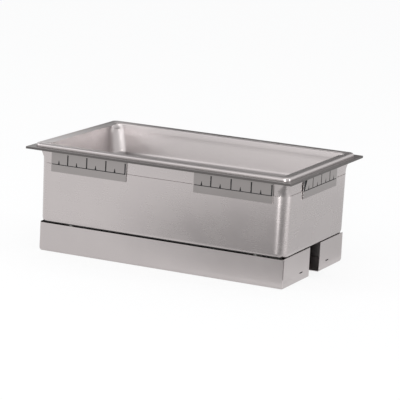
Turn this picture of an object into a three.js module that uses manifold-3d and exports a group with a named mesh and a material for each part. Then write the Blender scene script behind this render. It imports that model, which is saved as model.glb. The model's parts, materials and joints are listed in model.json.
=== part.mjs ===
// A drop in food well: a drawn steel well with a shallow food pan, lock strips and a heated base tray.
// Millimetres, +Z up. The origin is the middle of the base tray's underside, +X runs along the length
// and -Y is the front. The end at +X carries the conduit notch.
import * as THREE from 'three';
import { mergeVertices } from 'three/addons/utils/BufferGeometryUtils.js';
import Module from 'manifold-3d';

const wasm = await Module();
wasm.setup();

// Well: one drawn sheet with a turned down flange. Its wall stands in under the food pan's rim, and its
// flange reaches out past that rim.
const wellGauge = 1;
const wallLapEnds = 6;
const wallLapSides = 11.5;
const wallDraft = 1;
const wallCornerRadius = 24;
const wellFloorFillet = 10;
const flangeMarginEnds = 11;
const flangeMarginSides = 13;
const flangeHeight = 206;
const flangeLip = 4;
const lipCornerRadius = 0.5;
const neckHeight = 31.5;
const neckRecess = 0.8;
const creaseCornerRadius = 21;
const neckTopInset = 0.2;
const neckCornerRadius = 14;
const neckBend = 2.5;

// Food pan: full size and shallow, hung by its rim. The well and the tray are made to suit its rim.
const panGauge = 0.8;
const panRimLength = 530;
const panRimWidth = 325;
const panDepth = 65;
const panRimHeight = 7;
const panRimRoll = 3.5;
const panRidgeRise = 1;
const panRidgeWidth = 4;
const panRimCornerRadius = 12;
const panCornerRadius = 26;
const panClearance = 1.8;
const panTaper = 9;
const panFloorFillet = 14;
const panFloorCornerRadius = 36;
const panWallBend = 2.5;
const panStackDrop = 12;
const panStackHeight = 9;
const panStackDent = 5;
const panLiftGap = 0.3;

// Lock strips: four tabs each, cut free by upright slots and one slit
const stripGauge = 1.2;
const tabPitch = 41;
const tabCount = 4;
const endTabWidth = 35.3;
const stripEar = 2.9;
const slotWidth = 1.6;
const slitHeight = 1.4;
const slotTopDrop = 11;
const stripBandHeight = 14;
const pryNotchWidth = 3;
const pryNotchHeight = 4.5;
const pryNotchShare = 0.5;
const sprungSlotWidth = 8;
const stripToWallEnd = 27.5;
const endStripOffset = 2;

// Base tray: one folded blank under the well, with a conduit notch in its right end
const trayGauge = 1.2;
const trayInsetEnds = 2;
const trayInsetSides = 8.5;
const trayHeight = 55.5;
const trayBend = 3;
const trayCornerRadius = 1.3;
const trayToWell = 2.5;
const seamWidth = 1.4;
const seamFoot = 19;
const notchWidth = 50;
const notchDepth = 30;
const notchCentre = 5;
const endSlotLength = 14;
const endSlotHeight = 2.5;
const endSlotSpread = 63;
const endSlotHeightAboveFloor = 16;
const earLength = 24;
const earReach = 22;
const earFromEnd = 62;

// Counter gasket under the flange
const gasketWidth = 8;
const gasketThickness = 2.7;
const gasketInset = 1;

// Access cover inside the tray's floor
const coverLength = 150;
const coverWidth = 150;
const coverGauge = 1.2;
const coverLap = 12;
const coverToBlock = 17;

// Heating element with its clamps, reflector and board
const elementRadius = 4;
const elementRunCount = 4;
const elementFromSide = 67.5;
const elementFromLeftEnd = 82;
const elementFromRightEnd = 82;
const elementBendFromEnd = 147;
const pinRadius = 2.2;
const pinLength = 20;
const clampWidth = 18;
const clampOverhang = 23;
const clampGauge = 1.6;
const clampHeight = 6;
const clampFromLeftBend = 20;
const clampFromRightBend = 25;
const clampStudFromEnd = 10;
const reflectorGauge = 0.8;
const reflectorFromLeftEnd = 37;
const reflectorFromRightEnd = 97;
const reflectorFromSide = 32.5;
const boardThickness = 10;
const boardMargin = 4;

// Fasteners
const studRadius = 2.5;
const studTail = 6;
const studShoulderRadius = 6;
const nutAcrossFlats = 8;
const nutHeight = 4;
const screwHeadRadius = 3.6;
const screwHeadHeight = 1;
const screwRadius = 1.9;
const screwLength = 8;

// Temperature sensor and its clip
const sensorRadius = 3;
const sensorLength = 50;
const sensorFromClamp = 90;
const clipWidth = 12;
const clipGauge = 0.8;
const clipEar = 8;

// High limit switch with its reset button and bracket
const limitRadius = 9.5;
const limitHeight = 12;
const limitFromEnd = 57;
const limitCollarRadius = 11;
const limitCollarHeight = 1.6;
const limitCollarDrop = 5;
const limitTabLength = 7;
const limitTabWidth = 6;
const limitTabGauge = 0.8;
const limitTabRise = 1.6;
const buttonRadius = 2.2;
const buttonReach = 3;
const buttonDepth = 4;
const buttonTravel = 1.5;
const bracketLength = 56;
const bracketWidth = 26;
const bracketGauge = 1;

// Terminal block and ground stud
const blockLength = 60;
const blockWidth = 20;
const blockHeight = 20;
const blockFromEnd = 135;
const blockInsideRun = 14;
const postCount = 4;
const postPitch = 14;
const wallBetweenPosts = 2;
const postShelfHeight = 13;
const blockScrewHeadRadius = 3;
const blockScrewHeadHeight = 2;
const groundFromEnd = 107;
const groundInsideRun = 5;
const groundStudHeight = 14;

// Conduit connector on its bracket
const conduitFromEnd = 97;
const conduitPlateWidth = 60;
const conduitPlateHeight = 36;
const conduitPlateGauge = 1.5;
const conduitFoot = 20;
const conduitAxisHeight = 21;
const conduitBore = 8;
const conduitThread = 9.8;
const conduitBody = 12;
const conduitBodyLength = 26;
const conduitThreadLength = 11;
const locknutRadius = 13.5;
const locknutThickness = 3;

// Wires
const wireRadius = 1.6;
const wireExitHeight = 8;
const wireStraight = 8;
const wireLoop = 16;
const wireDip = 6;
const wireSpread = 12;

// Clearances and cutting
const seat = 0.3;
const holeClearance = 0.4;
const overrun = 2;

// Counts of facets
const cornerSteps = 6;
const filletSteps = 3;
const roundSides = 12;
const tubeSides = 8;
const wireSides = 6;
const bendSteps = 8;
const wireSteps = 16;

// Heights and half sizes that several pieces share
const wallLength = panRimLength - 2 * wallLapEnds;
const wallWidth = panRimWidth - 2 * wallLapSides;
const flangeLength = panRimLength + 2 * flangeMarginEnds;
const flangeWidth = panRimWidth + 2 * flangeMarginSides;
const trayLength = wallLength - 2 * trayInsetEnds;
const trayWidth = wallWidth - 2 * trayInsetSides;
const wellUnderside = trayHeight + trayToWell;
const creaseHeight = flangeHeight - neckHeight;
const flangeUnderside = flangeHeight - wellGauge;
const halfWallLength = wallLength / 2;
const halfWallWidth = wallWidth / 2;
const halfTrayLength = trayLength / 2;
const halfTrayWidth = trayWidth / 2;
const trayFloor = trayGauge + seat;
const elementHeight = wellUnderside - seat - elementRadius;
const clampTop = elementHeight - elementRadius - seat;
const clampFoot = clampTop - clampHeight;
const reflectorTop = clampFoot - seat;
const boardTop = reflectorTop - reflectorGauge - seat;
const boardFoot = boardTop - boardThickness;
const clampNutTop = boardFoot - seat;
const limitTop = wellUnderside - seat;
const limitFoot = limitTop - limitHeight;
const groundTop = trayFloor + nutHeight;
const stripLength = endTabWidth + (tabCount - 1) * tabPitch + stripEar;

// Places along the length and across the width that several pieces share
const elementLeftEnd = elementFromLeftEnd - halfTrayLength;
const elementRightEnd = halfTrayLength - elementFromRightEnd;
const elementRightBend = halfTrayLength - elementBendFromEnd;
const elementRunSpacing = (trayWidth - 2 * elementFromSide) / (elementRunCount - 1);
const pinRow = halfTrayWidth - elementFromSide;
const clampLength = 2 * (pinRow + clampOverhang);
const leftClamp = elementLeftEnd + clampFromLeftBend;
const rightClamp = elementRightBend - clampFromRightBend;
const sensorStart = rightClamp - sensorLength - sensorFromClamp;
const reflectorLeft = reflectorFromLeftEnd - halfTrayLength;
const reflectorRight = halfTrayLength - reflectorFromRightEnd;
const reflectorHalfWidth = halfTrayWidth - reflectorFromSide;
const limitX = halfTrayLength - limitFromEnd;
const blockX = halfTrayLength - blockFromEnd;
const blockCentre = blockInsideRun - pinRow;
const groundX = halfTrayLength - groundFromEnd;
const groundY = pinRow - groundInsideRun;
const conduitPlateX = halfTrayLength - conduitFromEnd;
const coverRight = blockX - blockWidth / 2 - coverToBlock;
const coverCentre = coverRight - coverLength / 2;
const earX = halfTrayLength - earFromEnd;

// Finishes
const finish = (color, roughness, metalness) => ({ color, roughness, metalness });
const wellSteel = finish(0xbab6b1, 0.34, 1);
const panSteel = finish(0xc9c6c2, 0.28, 1);
const stripSteel = finish(0x9c9994, 0.42, 1);
const traySteel = finish(0xb2aeaa, 0.38, 1);
const plainSteel = finish(0xa3a4a3, 0.45, 1);
const zincSteel = finish(0xa9aca6, 0.5, 1);
const elementSheath = finish(0x6c6660, 0.5, 1);
const aluminised = finish(0xc4c6c8, 0.35, 1);
const boardFibre = finish(0xcfc8b8, 0.95, 0);
const gasketRubber = finish(0x24262a, 0.8, 0);
const phenolic = finish(0x1f1c1a, 0.55, 0);
const resetRed = finish(0xa8261f, 0.4, 0);
const wireBlack = finish(0x1d1d1f, 0.6, 0);
const wireWhite = finish(0xd9d7d2, 0.6, 0);
const wireGreen = finish(0x2f7a3d, 0.6, 0);
const wireGrey = finish(0x8b8d90, 0.6, 0);

const model = new THREE.Group();
model.name = 'drop_in_food_well';

// Adds a named piece to the model, or to a group inside it
function piece(name, geometry, look, parent = model) {
  const mesh = new THREE.Mesh(geometry, new THREE.MeshStandardMaterial(look));
  mesh.name = name;
  parent.add(mesh);
  return mesh;
}

// Keeps only positions, with shared points merged
function welded(geometry) {
  const bare = geometry.clone();
  bare.deleteAttribute('normal');
  bare.deleteAttribute('uv');
  return mergeVertices(bare);
}

// Turns a closed geometry into a solid that can be joined and cut
function solid(geometry) {
  const bare = welded(geometry);
  const vertProperties = new Float32Array(bare.attributes.position.array);
  const triVerts = new Uint32Array(bare.index.array);
  return new wasm.Manifold(new wasm.Mesh({ numProp: 3, vertProperties, triVerts }));
}

// Turns a solid back into a geometry
function shown(body) {
  const mesh = body.getMesh();
  const geometry = new THREE.BufferGeometry();
  geometry.setAttribute('position', new THREE.BufferAttribute(new Float32Array(mesh.vertProperties), 3));
  geometry.setIndex(new THREE.BufferAttribute(new Uint32Array(mesh.triVerts), 1));
  geometry.computeVertexNormals();
  return geometry;
}

// A box between two corners
function box(x0, y0, z0, x1, y1, z1) {
  const geometry = new THREE.BoxGeometry(x1 - x0, y1 - y0, z1 - z0);
  return geometry.translate((x0 + x1) / 2, (y0 + y1) / 2, (z0 + z1) / 2);
}

// An upright cylinder between two heights
function rod(radius, x, y, z0, z1, sides = roundSides) {
  const geometry = new THREE.CylinderGeometry(radius, radius, z1 - z0, sides);
  return geometry.rotateX(Math.PI / 2).translate(x, y, (z0 + z1) / 2);
}

// A turned solid about the Z axis, from radius and height pairs that start and end on the axis
function turned(pairs, sides = roundSides) {
  const profile = pairs.map(([radius, height]) => new THREE.Vector2(radius, height));
  return new THREE.LatheGeometry(profile, sides).rotateX(Math.PI / 2);
}

// One level loop of a rounded rectangle, anticlockwise from above
function levelLoop({ halfLength, halfWidth, radius, height }) {
  const points = [];
  for (let corner = 0; corner < 4; corner += 1) {
    const sideX = corner === 0 || corner === 3 ? 1 : -1;
    const sideY = corner < 2 ? 1 : -1;
    for (let step = 0; step <= cornerSteps; step += 1) {
      const angle = ((corner + step / cornerSteps) * Math.PI) / 2;
      const x = sideX * (halfLength - radius) + radius * Math.cos(angle);
      const y = sideY * (halfWidth - radius) + radius * Math.sin(angle);
      points.push(new THREE.Vector3(x, y, height));
    }
  }
  return points;
}

// Joins level loops in order: from a capped first loop to a capped last one, or round to the first
function lofted(loops, closed = false) {
  const count = loops[0].length;
  const places = loops.flat();
  const index = [];
  const joins = closed ? loops.length : loops.length - 1;
  for (let row = 0; row < joins; row += 1) {
    const next = (row + 1) % loops.length;
    for (let column = 0; column < count; column += 1) {
      const beside = (column + 1) % count;
      const a0 = row * count + column;
      const a1 = row * count + beside;
      const b0 = next * count + column;
      const b1 = next * count + beside;
      index.push(a0, b0, b1, a0, b1, a1);
    }
  }
  if (!closed) {
    const last = (loops.length - 1) * count;
    places.push(new THREE.Vector3(0, 0, loops[0][0].z), new THREE.Vector3(0, 0, places[last].z));
    for (let column = 0; column < count; column += 1) {
      const beside = (column + 1) % count;
      index.push(places.length - 2, column, beside);
      index.push(places.length - 1, last + beside, last + column);
    }
  }
  const geometry = new THREE.BufferGeometry().setFromPoints(places);
  geometry.setIndex(index);
  geometry.computeVertexNormals();
  return geometry;
}

// A folded or drawn sheet. The stations follow its underside from the floor out to the free edge,
// and the other face lies one gauge away from them.
function drawnSheet(stations, gauge) {
  const spread = ({ halfLength, halfWidth }) => (halfLength + halfWidth) / 2;
  const heading = (from, to) => {
    const run = new THREE.Vector2(spread(to) - spread(from), to.height - from.height);
    return run.normalize();
  };
  const upper = stations.map((station, i) => {
    const before = heading(stations[Math.max(i - 1, 0)], stations[Math.max(i, 1)]);
    const last = stations.length - 1;
    const after = heading(stations[Math.min(i, last - 1)], stations[Math.min(i + 1, last)]);
    const along = before.clone().add(after).normalize();
    const across = i === 0 ? new THREE.Vector2(0, 1) : new THREE.Vector2(-along.y, along.x);
    const mitre = i === 0 ? 1 : across.dot(new THREE.Vector2(-before.y, before.x));
    across.multiplyScalar(gauge / mitre);
    return {
      halfLength: station.halfLength + across.x,
      halfWidth: station.halfWidth + across.x,
      radius: station.radius + across.x,
      height: station.height + across.y,
    };
  });
  return lofted([...upper, ...[...stations].reverse()].map(levelLoop));
}

// Stations round the fillet between a floor and the wall that stands on it
function floorStations(halfLength, halfWidth, radius, height, fillet) {
  return Array.from({ length: filletSteps + 1 }, (_, step) => {
    const angle = ((step / filletSteps) * Math.PI) / 2;
    const inset = fillet * (1 - Math.sin(angle));
    return {
      halfLength: halfLength - inset,
      halfWidth: halfWidth - inset,
      radius: radius - inset,
      height: height + fillet * (1 - Math.cos(angle)),
    };
  });
}

// Stations round a quarter bend from an upright wall out to a level flange
function flangeStations(halfLength, halfWidth, radius, height, bend) {
  return Array.from({ length: filletSteps + 1 }, (_, step) => {
    const angle = ((step / filletSteps) * Math.PI) / 2;
    const reach = bend * (1 - Math.cos(angle));
    return {
      halfLength: halfLength + reach,
      halfWidth: halfWidth + reach,
      radius: radius + reach,
      height: height - bend + bend * Math.sin(angle),
    };
  });
}

// A path through chosen places, with one step of a tube from each place to the next
class Route extends THREE.Curve {
  constructor(places) {
    super();
    this.places = places;
  }

  getPoint(share) {
    const at = share * (this.places.length - 1);
    const i = Math.min(Math.floor(at), this.places.length - 2);
    return this.places[i].clone().lerp(this.places[i + 1], at - i);
  }

  getPointAt(share) {
    return this.getPoint(share);
  }

  getTangentAt(share) {
    const last = this.places.length - 1;
    const i = Math.round(share * last);
    return this.places[Math.min(i + 1, last)].clone().sub(this.places[Math.max(i - 1, 0)]).normalize();
  }
}

// A round tube along places
function tube(places, radius, sides) {
  const ring = Array.from({ length: sides }, (_, i) => {
    const angle = (i / sides) * 2 * Math.PI;
    return new THREE.Vector2(radius * Math.cos(angle), radius * Math.sin(angle));
  });
  const steps = places.length - 1;
  return new THREE.ExtrudeGeometry(new THREE.Shape(ring), { steps, extrudePath: new Route(places) });
}

// A smooth wire through places chosen by hand, with a straight stretch at each end
function wire(name, corners, look) {
  const places = corners.map((corner) => new THREE.Vector3(...corner));
  const bends = new THREE.CatmullRomCurve3(places.slice(1, -1)).getSpacedPoints(wireSteps);
  piece(name, tube([places[0], ...bends, places[places.length - 1]], wireRadius, wireSides), look);
}

// Well
function makeWell() {
  const neckHalfLength = halfWallLength - neckTopInset;
  const neckHalfWidth = halfWallWidth - neckTopInset;
  const stations = [
    ...floorStations(
      halfWallLength - wallDraft,
      halfWallWidth - wallDraft,
      wallCornerRadius,
      wellUnderside,
      wellFloorFillet,
    ),
    {
      halfLength: halfWallLength,
      halfWidth: halfWallWidth,
      radius: wallCornerRadius,
      height: creaseHeight,
    },
    {
      halfLength: halfWallLength - neckRecess,
      halfWidth: halfWallWidth - neckRecess,
      radius: creaseCornerRadius,
      height: creaseHeight + neckRecess,
    },
    ...flangeStations(neckHalfLength, neckHalfWidth, neckCornerRadius, flangeUnderside, neckBend),
    {
      halfLength: flangeLength / 2 - wellGauge,
      halfWidth: flangeWidth / 2 - wellGauge,
      radius: lipCornerRadius,
      height: flangeUnderside,
    },
    {
      halfLength: flangeLength / 2 - wellGauge,
      halfWidth: flangeWidth / 2 - wellGauge,
      radius: lipCornerRadius,
      height: flangeHeight - flangeLip,
    },
  ];
  piece('well_pan', drawnSheet(stations, wellGauge), wellSteel);
}

// Food pan
function makeFoodPan() {
  const crest = flangeHeight + panRimHeight - panGauge;
  const ledge = crest - panRidgeRise;
  const underFloor = flangeHeight + panRimHeight - panDepth - panGauge;
  const rimFoot = flangeHeight + panLiftGap;
  const outHalfLength = panRimLength / 2 - panGauge;
  const outHalfWidth = panRimWidth / 2 - panGauge;
  const outRadius = panRimCornerRadius - panGauge;
  const bodyHalfLength = halfWallLength - neckTopInset - wellGauge - panClearance;
  const bodyHalfWidth = halfWallWidth - neckTopInset - wellGauge - panClearance;
  const at = (inset, radius, height) => ({
    halfLength: bodyHalfLength - inset,
    halfWidth: bodyHalfWidth - inset,
    radius,
    height,
  });
  const rim = (inset, height) => ({
    halfLength: outHalfLength - inset,
    halfWidth: outHalfWidth - inset,
    radius: outRadius - inset,
    height,
  });
  const stackTop = ledge - panStackDrop;
  const stackFoot = stackTop - panStackHeight;
  const taperAt = (height) => (panTaper * (ledge - height)) / (ledge - underFloor);
  const roll = Array.from({ length: filletSteps + 1 }, (_, step) => {
    const angle = ((step / filletSteps) * Math.PI) / 2;
    const inset = panRimRoll * (1 - Math.sin(angle));
    return rim(inset, crest - panRimRoll + panRimRoll * Math.cos(angle));
  });
  const stations = [
    ...floorStations(
      bodyHalfLength - panTaper,
      bodyHalfWidth - panTaper,
      panFloorCornerRadius,
      underFloor,
      panFloorFillet,
    ),
    at(taperAt(stackFoot), panCornerRadius + panStackDent, stackFoot),
    at(taperAt(stackTop), panCornerRadius + panStackDent, stackTop),
    at(taperAt(stackTop + panStackDent / 2), panCornerRadius, stackTop + panStackDent / 2),
    ...flangeStations(bodyHalfLength, bodyHalfWidth, panCornerRadius, ledge, panWallBend),
    rim(panRimRoll + panRidgeWidth, ledge),
    ...roll,
    rim(0, rimFoot),
  ];
  piece('food_pan', drawnSheet(stations, panGauge), panSteel);
}

// Lock strips: the outline runs along the slit's lower edge and back over the tabs
function stripGeometry(firstSlotWidth) {
  const top = flangeUnderside - neckBend - creaseHeight;
  const slotTop = neckHeight - slotTopDrop;
  const slitTop = slitHeight / 2;
  const foot = -slitTop - stripBandHeight;
  const left = -stripLength / 2;
  const right = stripLength / 2;
  const outline = [[left, foot], [right, foot], [right, top], [left, top], [left, slitTop]];
  for (let tab = 0; tab < tabCount; tab += 1) {
    const slot = left + endTabWidth + tab * tabPitch;
    const width = tab === 0 ? endTabWidth : tabPitch;
    const notch = slot - slotWidth / 2 - width * pryNotchShare;
    outline.push([notch - pryNotchWidth / 2, slitTop]);
    outline.push([notch, slitTop + pryNotchHeight]);
    outline.push([notch + pryNotchWidth / 2, slitTop]);
    const topWidth = tab === tabCount - 1 ? firstSlotWidth : slotWidth;
    const slotRight = slot + slotWidth / 2;
    outline.push([slot - slotWidth / 2, slitTop], [slotRight - topWidth, slotTop], [slotRight, slotTop]);
    if (tab < tabCount - 1) outline.push([slotRight, slitTop]);
  }
  outline.push([right - stripEar + slotWidth / 2, -slitTop], [left, -slitTop]);
  const shape = new THREE.Shape(outline.map(([along, up]) => new THREE.Vector2(along, up)));
  const geometry = new THREE.ExtrudeGeometry(shape, { depth: stripGauge, bevelEnabled: false });
  return geometry.rotateX(Math.PI / 2).translate(0, stripGauge, 0);
}

// Each strip stands on the wall at the crease, in a group turned to its side of the well
function makeStrip(name, turn, standOff, centre, mirrored, firstSlotWidth) {
  const side = new THREE.Group();
  side.rotation.z = turn;
  model.add(side);
  let geometry = stripGeometry(firstSlotWidth);
  if (mirrored) geometry = shown(solid(geometry).scale([-1, 1, 1]));
  const strip = piece(name, geometry, stripSteel, side);
  strip.position.set(centre, -standOff - seat - stripGauge, creaseHeight);
}

function makeStrips() {
  const front = 0;
  const rear = Math.PI;
  const rightEnd = Math.PI / 2;
  const leftEnd = -Math.PI / 2;
  const centre = halfWallLength - stripToWallEnd - stripLength / 2;
  makeStrip('front_lock_strip_left', front, halfWallWidth, -centre, false, slotWidth);
  makeStrip('front_lock_strip_right', front, halfWallWidth, centre, false, slotWidth);
  makeStrip('rear_lock_strip_left', rear, halfWallWidth, centre, true, slotWidth);
  makeStrip('rear_lock_strip_right', rear, halfWallWidth, -centre, true, slotWidth);
  makeStrip('end_lock_strip_right', rightEnd, halfWallLength, endStripOffset, true, sprungSlotWidth);
  makeStrip('end_lock_strip_left', leftEnd, halfWallLength, endStripOffset, true, slotWidth);
}

// Places of the tray's four ears and the studs in them
const earPlaces = [[-1, -1], [1, -1], [1, 1], [-1, 1]].map(([sideX, sideY]) => ({
  x: sideX * earX,
  y: sideY * (halfTrayWidth - trayGauge - earReach / 2),
  wall: sideY * (halfTrayWidth - trayGauge / 2),
  tip: sideY * (halfTrayWidth - trayGauge - earReach),
}));

// Base tray
function makeTray() {
  const stations = [
    ...floorStations(halfTrayLength, halfTrayWidth, trayCornerRadius + trayBend, 0, trayBend),
    {
      halfLength: halfTrayLength,
      halfWidth: halfTrayWidth,
      radius: trayCornerRadius,
      height: trayBend + trayGauge,
    },
    {
      halfLength: halfTrayLength,
      halfWidth: halfTrayWidth,
      radius: trayCornerRadius,
      height: trayHeight,
    },
  ];
  let tray = solid(drawnSheet(stations, trayGauge));
  const earFoot = trayHeight - trayGauge;
  for (const { x, y, wall, tip } of earPlaces) {
    const low = Math.min(wall, tip);
    const high = Math.max(wall, tip);
    tray = tray.add(solid(box(x - earLength / 2, low, earFoot, x + earLength / 2, high, trayHeight)));
    const hole = rod(studRadius + holeClearance, x, y, earFoot - overrun, trayHeight + overrun);
    tray = tray.subtract(solid(hole));
  }
  const cuts = [
    box(
      halfTrayLength - notchDepth,
      notchCentre - notchWidth / 2,
      -overrun,
      halfTrayLength + overrun,
      notchCentre + notchWidth / 2,
      trayHeight + overrun,
    ),
  ];
  for (const side of [-1, 1]) {
    for (const end of [-1, 1]) {
      const seam = box(-seamWidth, -seamWidth, seamFoot, seamWidth, seamWidth, trayHeight + overrun);
      cuts.push(seam.translate(end * halfTrayLength, side * halfTrayWidth, 0));
      const slotFoot = endSlotHeightAboveFloor - endSlotHeight / 2;
      const slotTop = endSlotHeightAboveFloor + endSlotHeight / 2;
      const slot = box(-overrun, -endSlotLength / 2, slotFoot, overrun, endSlotLength / 2, slotTop);
      cuts.push(slot.translate(end * halfTrayLength, notchCentre + side * endSlotSpread, 0));
    }
  }
  const hatchHalfLength = coverLength / 2 - coverLap;
  const hatchHalfWidth = coverWidth / 2 - coverLap;
  const hatch = box(-hatchHalfLength, -hatchHalfWidth, -overrun, hatchHalfLength, hatchHalfWidth, overrun);
  cuts.push(hatch.translate(coverCentre, 0, 0));
  for (const { x, y } of coverScrewPlaces) {
    cuts.push(rod(screwHeadRadius + holeClearance, x, y, -overrun, overrun + trayGauge));
  }
  for (const cut of cuts) tray = tray.subtract(solid(cut));
  piece('base_tray', shown(tray), traySteel);
}

// Access cover, laid on the tray's floor over its hatch, with flush screws from below
const coverScrewPlaces = [[-1, -1], [1, -1], [1, 1], [-1, 1]].map(([sideX, sideY]) => ({
  x: coverCentre + sideX * (coverLength / 2 - coverLap / 2),
  y: sideY * (coverWidth / 2 - coverLap / 2),
}));

function makeCover() {
  const plate = box(
    coverCentre - coverLength / 2,
    -coverWidth / 2,
    trayFloor,
    coverCentre + coverLength / 2,
    coverWidth / 2,
    trayFloor + coverGauge,
  );
  let cover = solid(plate);
  for (const { x, y } of coverScrewPlaces) {
    const hole = rod(screwRadius + holeClearance, x, y, 0, trayFloor + coverGauge + overrun);
    cover = cover.subtract(solid(hole));
  }
  piece('access_cover', shown(cover), traySteel);
  coverScrewPlaces.forEach(({ x, y }, i) => {
    const screw = turned([[0, 0], [screwHeadRadius, 0], [screwRadius, screwHeadHeight],
      [screwRadius, screwLength], [0, screwLength]]);
    piece(`cover_screw_${i + 1}`, screw, zincSteel).position.set(x, y, 0);
  });
}

// Gasket under the flange, just inside its lip
function makeGasket() {
  const outLength = flangeLength / 2 - wellGauge - gasketInset;
  const outWidth = flangeWidth / 2 - wellGauge - gasketInset;
  const top = flangeUnderside - seat;
  const foot = top - gasketThickness;
  const loop = (inset, height) => levelLoop({
    halfLength: outLength - inset,
    halfWidth: outWidth - inset,
    radius: gasketWidth + gasketInset - inset,
    height,
  });
  const loops = [loop(gasketWidth, foot), loop(gasketWidth, top), loop(0, top), loop(0, foot)];
  piece('counter_gasket', lofted(loops, true), gasketRubber);
}

// Hexagon nut on a stud's axis
function makeNut(name, x, y, foot) {
  const corner = nutAcrossFlats / 2 / Math.cos(Math.PI / 6);
  const hexagon = solid(rod(corner, x, y, foot, foot + nutHeight, 6));
  const bore = solid(rod(studRadius + seat, x, y, foot - overrun, foot + nutHeight + overrun));
  piece(name, shown(hexagon.subtract(bore)), zincSteel);
}

// Studs with a shoulder between the well and the tray's ears
function makeTrayFixings() {
  earPlaces.forEach(({ x, y }, i) => {
    const top = wellUnderside - seat;
    const shoulder = trayHeight + seat;
    const nutTop = trayHeight - trayGauge - seat;
    const tip = nutTop - nutHeight - studTail / 2;
    const stud = turned([[0, tip], [studRadius, tip], [studRadius, shoulder],
      [studShoulderRadius, shoulder], [studShoulderRadius, top], [0, top]]);
    piece(`tray_stud_${i + 1}`, stud, zincSteel).position.set(x, y, 0);
    makeNut(`tray_nut_${i + 1}`, x, y, nutTop - nutHeight);
  });
}

// Heating element: four runs and three bends of one sheathed tube against the well's floor
function elementPlaces() {
  const bend = elementRunSpacing / 2;
  const rows = Array.from({ length: elementRunCount }, (_, i) => i * elementRunSpacing - pinRow);
  const places = [new THREE.Vector3(elementRightEnd, rows[0], elementHeight)];
  const turnAt = (x, y, side, sense) => {
    for (let step = 0; step <= bendSteps; step += 1) {
      const angle = (-0.5 + step / bendSteps) * Math.PI;
      const reach = side * bend * Math.cos(angle);
      places.push(new THREE.Vector3(x + reach, y + sense * bend * Math.sin(angle), elementHeight));
    }
  };
  turnAt(elementLeftEnd, (rows[0] + rows[1]) / 2, -1, 1);
  turnAt(elementRightBend, (rows[1] + rows[2]) / 2, 1, 1);
  turnAt(elementLeftEnd, (rows[2] + rows[3]) / 2, -1, 1);
  places.push(new THREE.Vector3(elementRightEnd, rows[3], elementHeight));
  return places;
}

function makeElement() {
  piece('heating_element', tube(elementPlaces(), elementRadius, tubeSides), elementSheath);
  for (const [name, side] of [['front', -1], ['rear', 1]]) {
    const pin = turned([[0, 0], [pinRadius, 0], [pinRadius, pinLength], [0, pinLength]]);
    const held = piece(`element_terminal_${name}`, pin.rotateY(Math.PI / 2), zincSteel);
    held.position.set(elementRightEnd + seat, side * pinRow, elementHeight);
  }
}

// Places of the studs that carry the clamps, the reflector and the board
const clampPlaces = [leftClamp, rightClamp].flatMap((x) => [-1, 1].map((sideY) => ({
  x,
  y: sideY * (clampLength / 2 - clampStudFromEnd),
})));

function drilled(geometry, places, radius, foot, top) {
  let body = solid(geometry);
  for (const { x, y } of places) {
    body = body.subtract(solid(rod(radius, x, y, foot - overrun, top + overrun)));
  }
  return shown(body);
}

function makeClamps() {
  for (const [name, x] of [['left', leftClamp], ['right', rightClamp]]) {
    const half = clampWidth / 2;
    const rise = clampTop - clampGauge;
    let channel = solid(box(x - half, -clampLength / 2, clampFoot, x + half, clampLength / 2, clampTop));
    const hollow = box(
      x - half + clampGauge,
      -clampLength / 2 - overrun,
      clampFoot - overrun,
      x + half - clampGauge,
      clampLength / 2 + overrun,
      rise,
    );
    channel = channel.subtract(solid(hollow));
    for (const place of clampPlaces.filter((stud) => stud.x === x)) {
      const hole = rod(studRadius + holeClearance, place.x, place.y, rise - overrun, clampTop + overrun);
      channel = channel.subtract(solid(hole));
    }
    piece(`clamp_bar_${name}`, shown(channel), zincSteel);
  }
  clampPlaces.forEach(({ x, y }, i) => {
    const tip = clampNutTop - nutHeight - studTail / 2;
    piece(`clamp_stud_${i + 1}`, rod(studRadius, x, y, tip, wellUnderside - seat), zincSteel);
    makeNut(`clamp_nut_${i + 1}`, x, y, clampNutTop - nutHeight);
  });
}

function makeReflectorAndBoard() {
  const plate = box(
    reflectorLeft,
    -reflectorHalfWidth,
    reflectorTop - reflectorGauge,
    reflectorRight,
    reflectorHalfWidth,
    reflectorTop,
  );
  const hole = studRadius + holeClearance;
  const plateGeometry = drilled(plate, clampPlaces, hole, reflectorTop - reflectorGauge, reflectorTop);
  piece('reflector_plate', plateGeometry, aluminised);
  const board = box(
    reflectorLeft + boardMargin,
    boardMargin - reflectorHalfWidth,
    boardFoot,
    reflectorRight - boardMargin,
    reflectorHalfWidth - boardMargin,
    boardTop,
  );
  piece('insulation_board', drilled(board, clampPlaces, hole, boardFoot, boardTop), boardFibre);
}

// Temperature sensor held to the well's floor by an arched clip
function makeSensor() {
  const axis = wellUnderside - seat - sensorRadius;
  const probe = turned([[0, 0], [sensorRadius, 0], [sensorRadius, sensorLength], [0, sensorLength]]);
  const sensor = piece('temperature_sensor', probe.rotateY(Math.PI / 2), plainSteel);
  sensor.position.set(sensorStart, 0, axis);
  const inner = sensorRadius + seat;
  const outer = inner + clipGauge;
  const top = wellUnderside - seat;
  const middle = sensorStart + sensorLength / 2;
  const near = middle - clipWidth / 2;
  const far = middle + clipWidth / 2;
  const hump = new THREE.CylinderGeometry(outer, outer, clipWidth, roundSides);
  let clip = solid(hump.rotateZ(Math.PI / 2).translate(middle, 0, axis));
  clip = clip.add(solid(box(near, -outer, axis, far, outer, top)));
  clip = clip.add(solid(box(near, -outer - clipEar, top - clipGauge, far, outer + clipEar, top)));
  const bore = new THREE.CylinderGeometry(inner, inner, clipWidth + overrun, roundSides);
  clip = clip.subtract(solid(bore.rotateZ(Math.PI / 2).translate(middle, 0, axis)));
  clip = clip.subtract(solid(box(near - overrun, -inner, axis, far + overrun, inner, top + overrun)));
  piece('sensor_clip', shown(clip), zincSteel);
}

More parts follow.
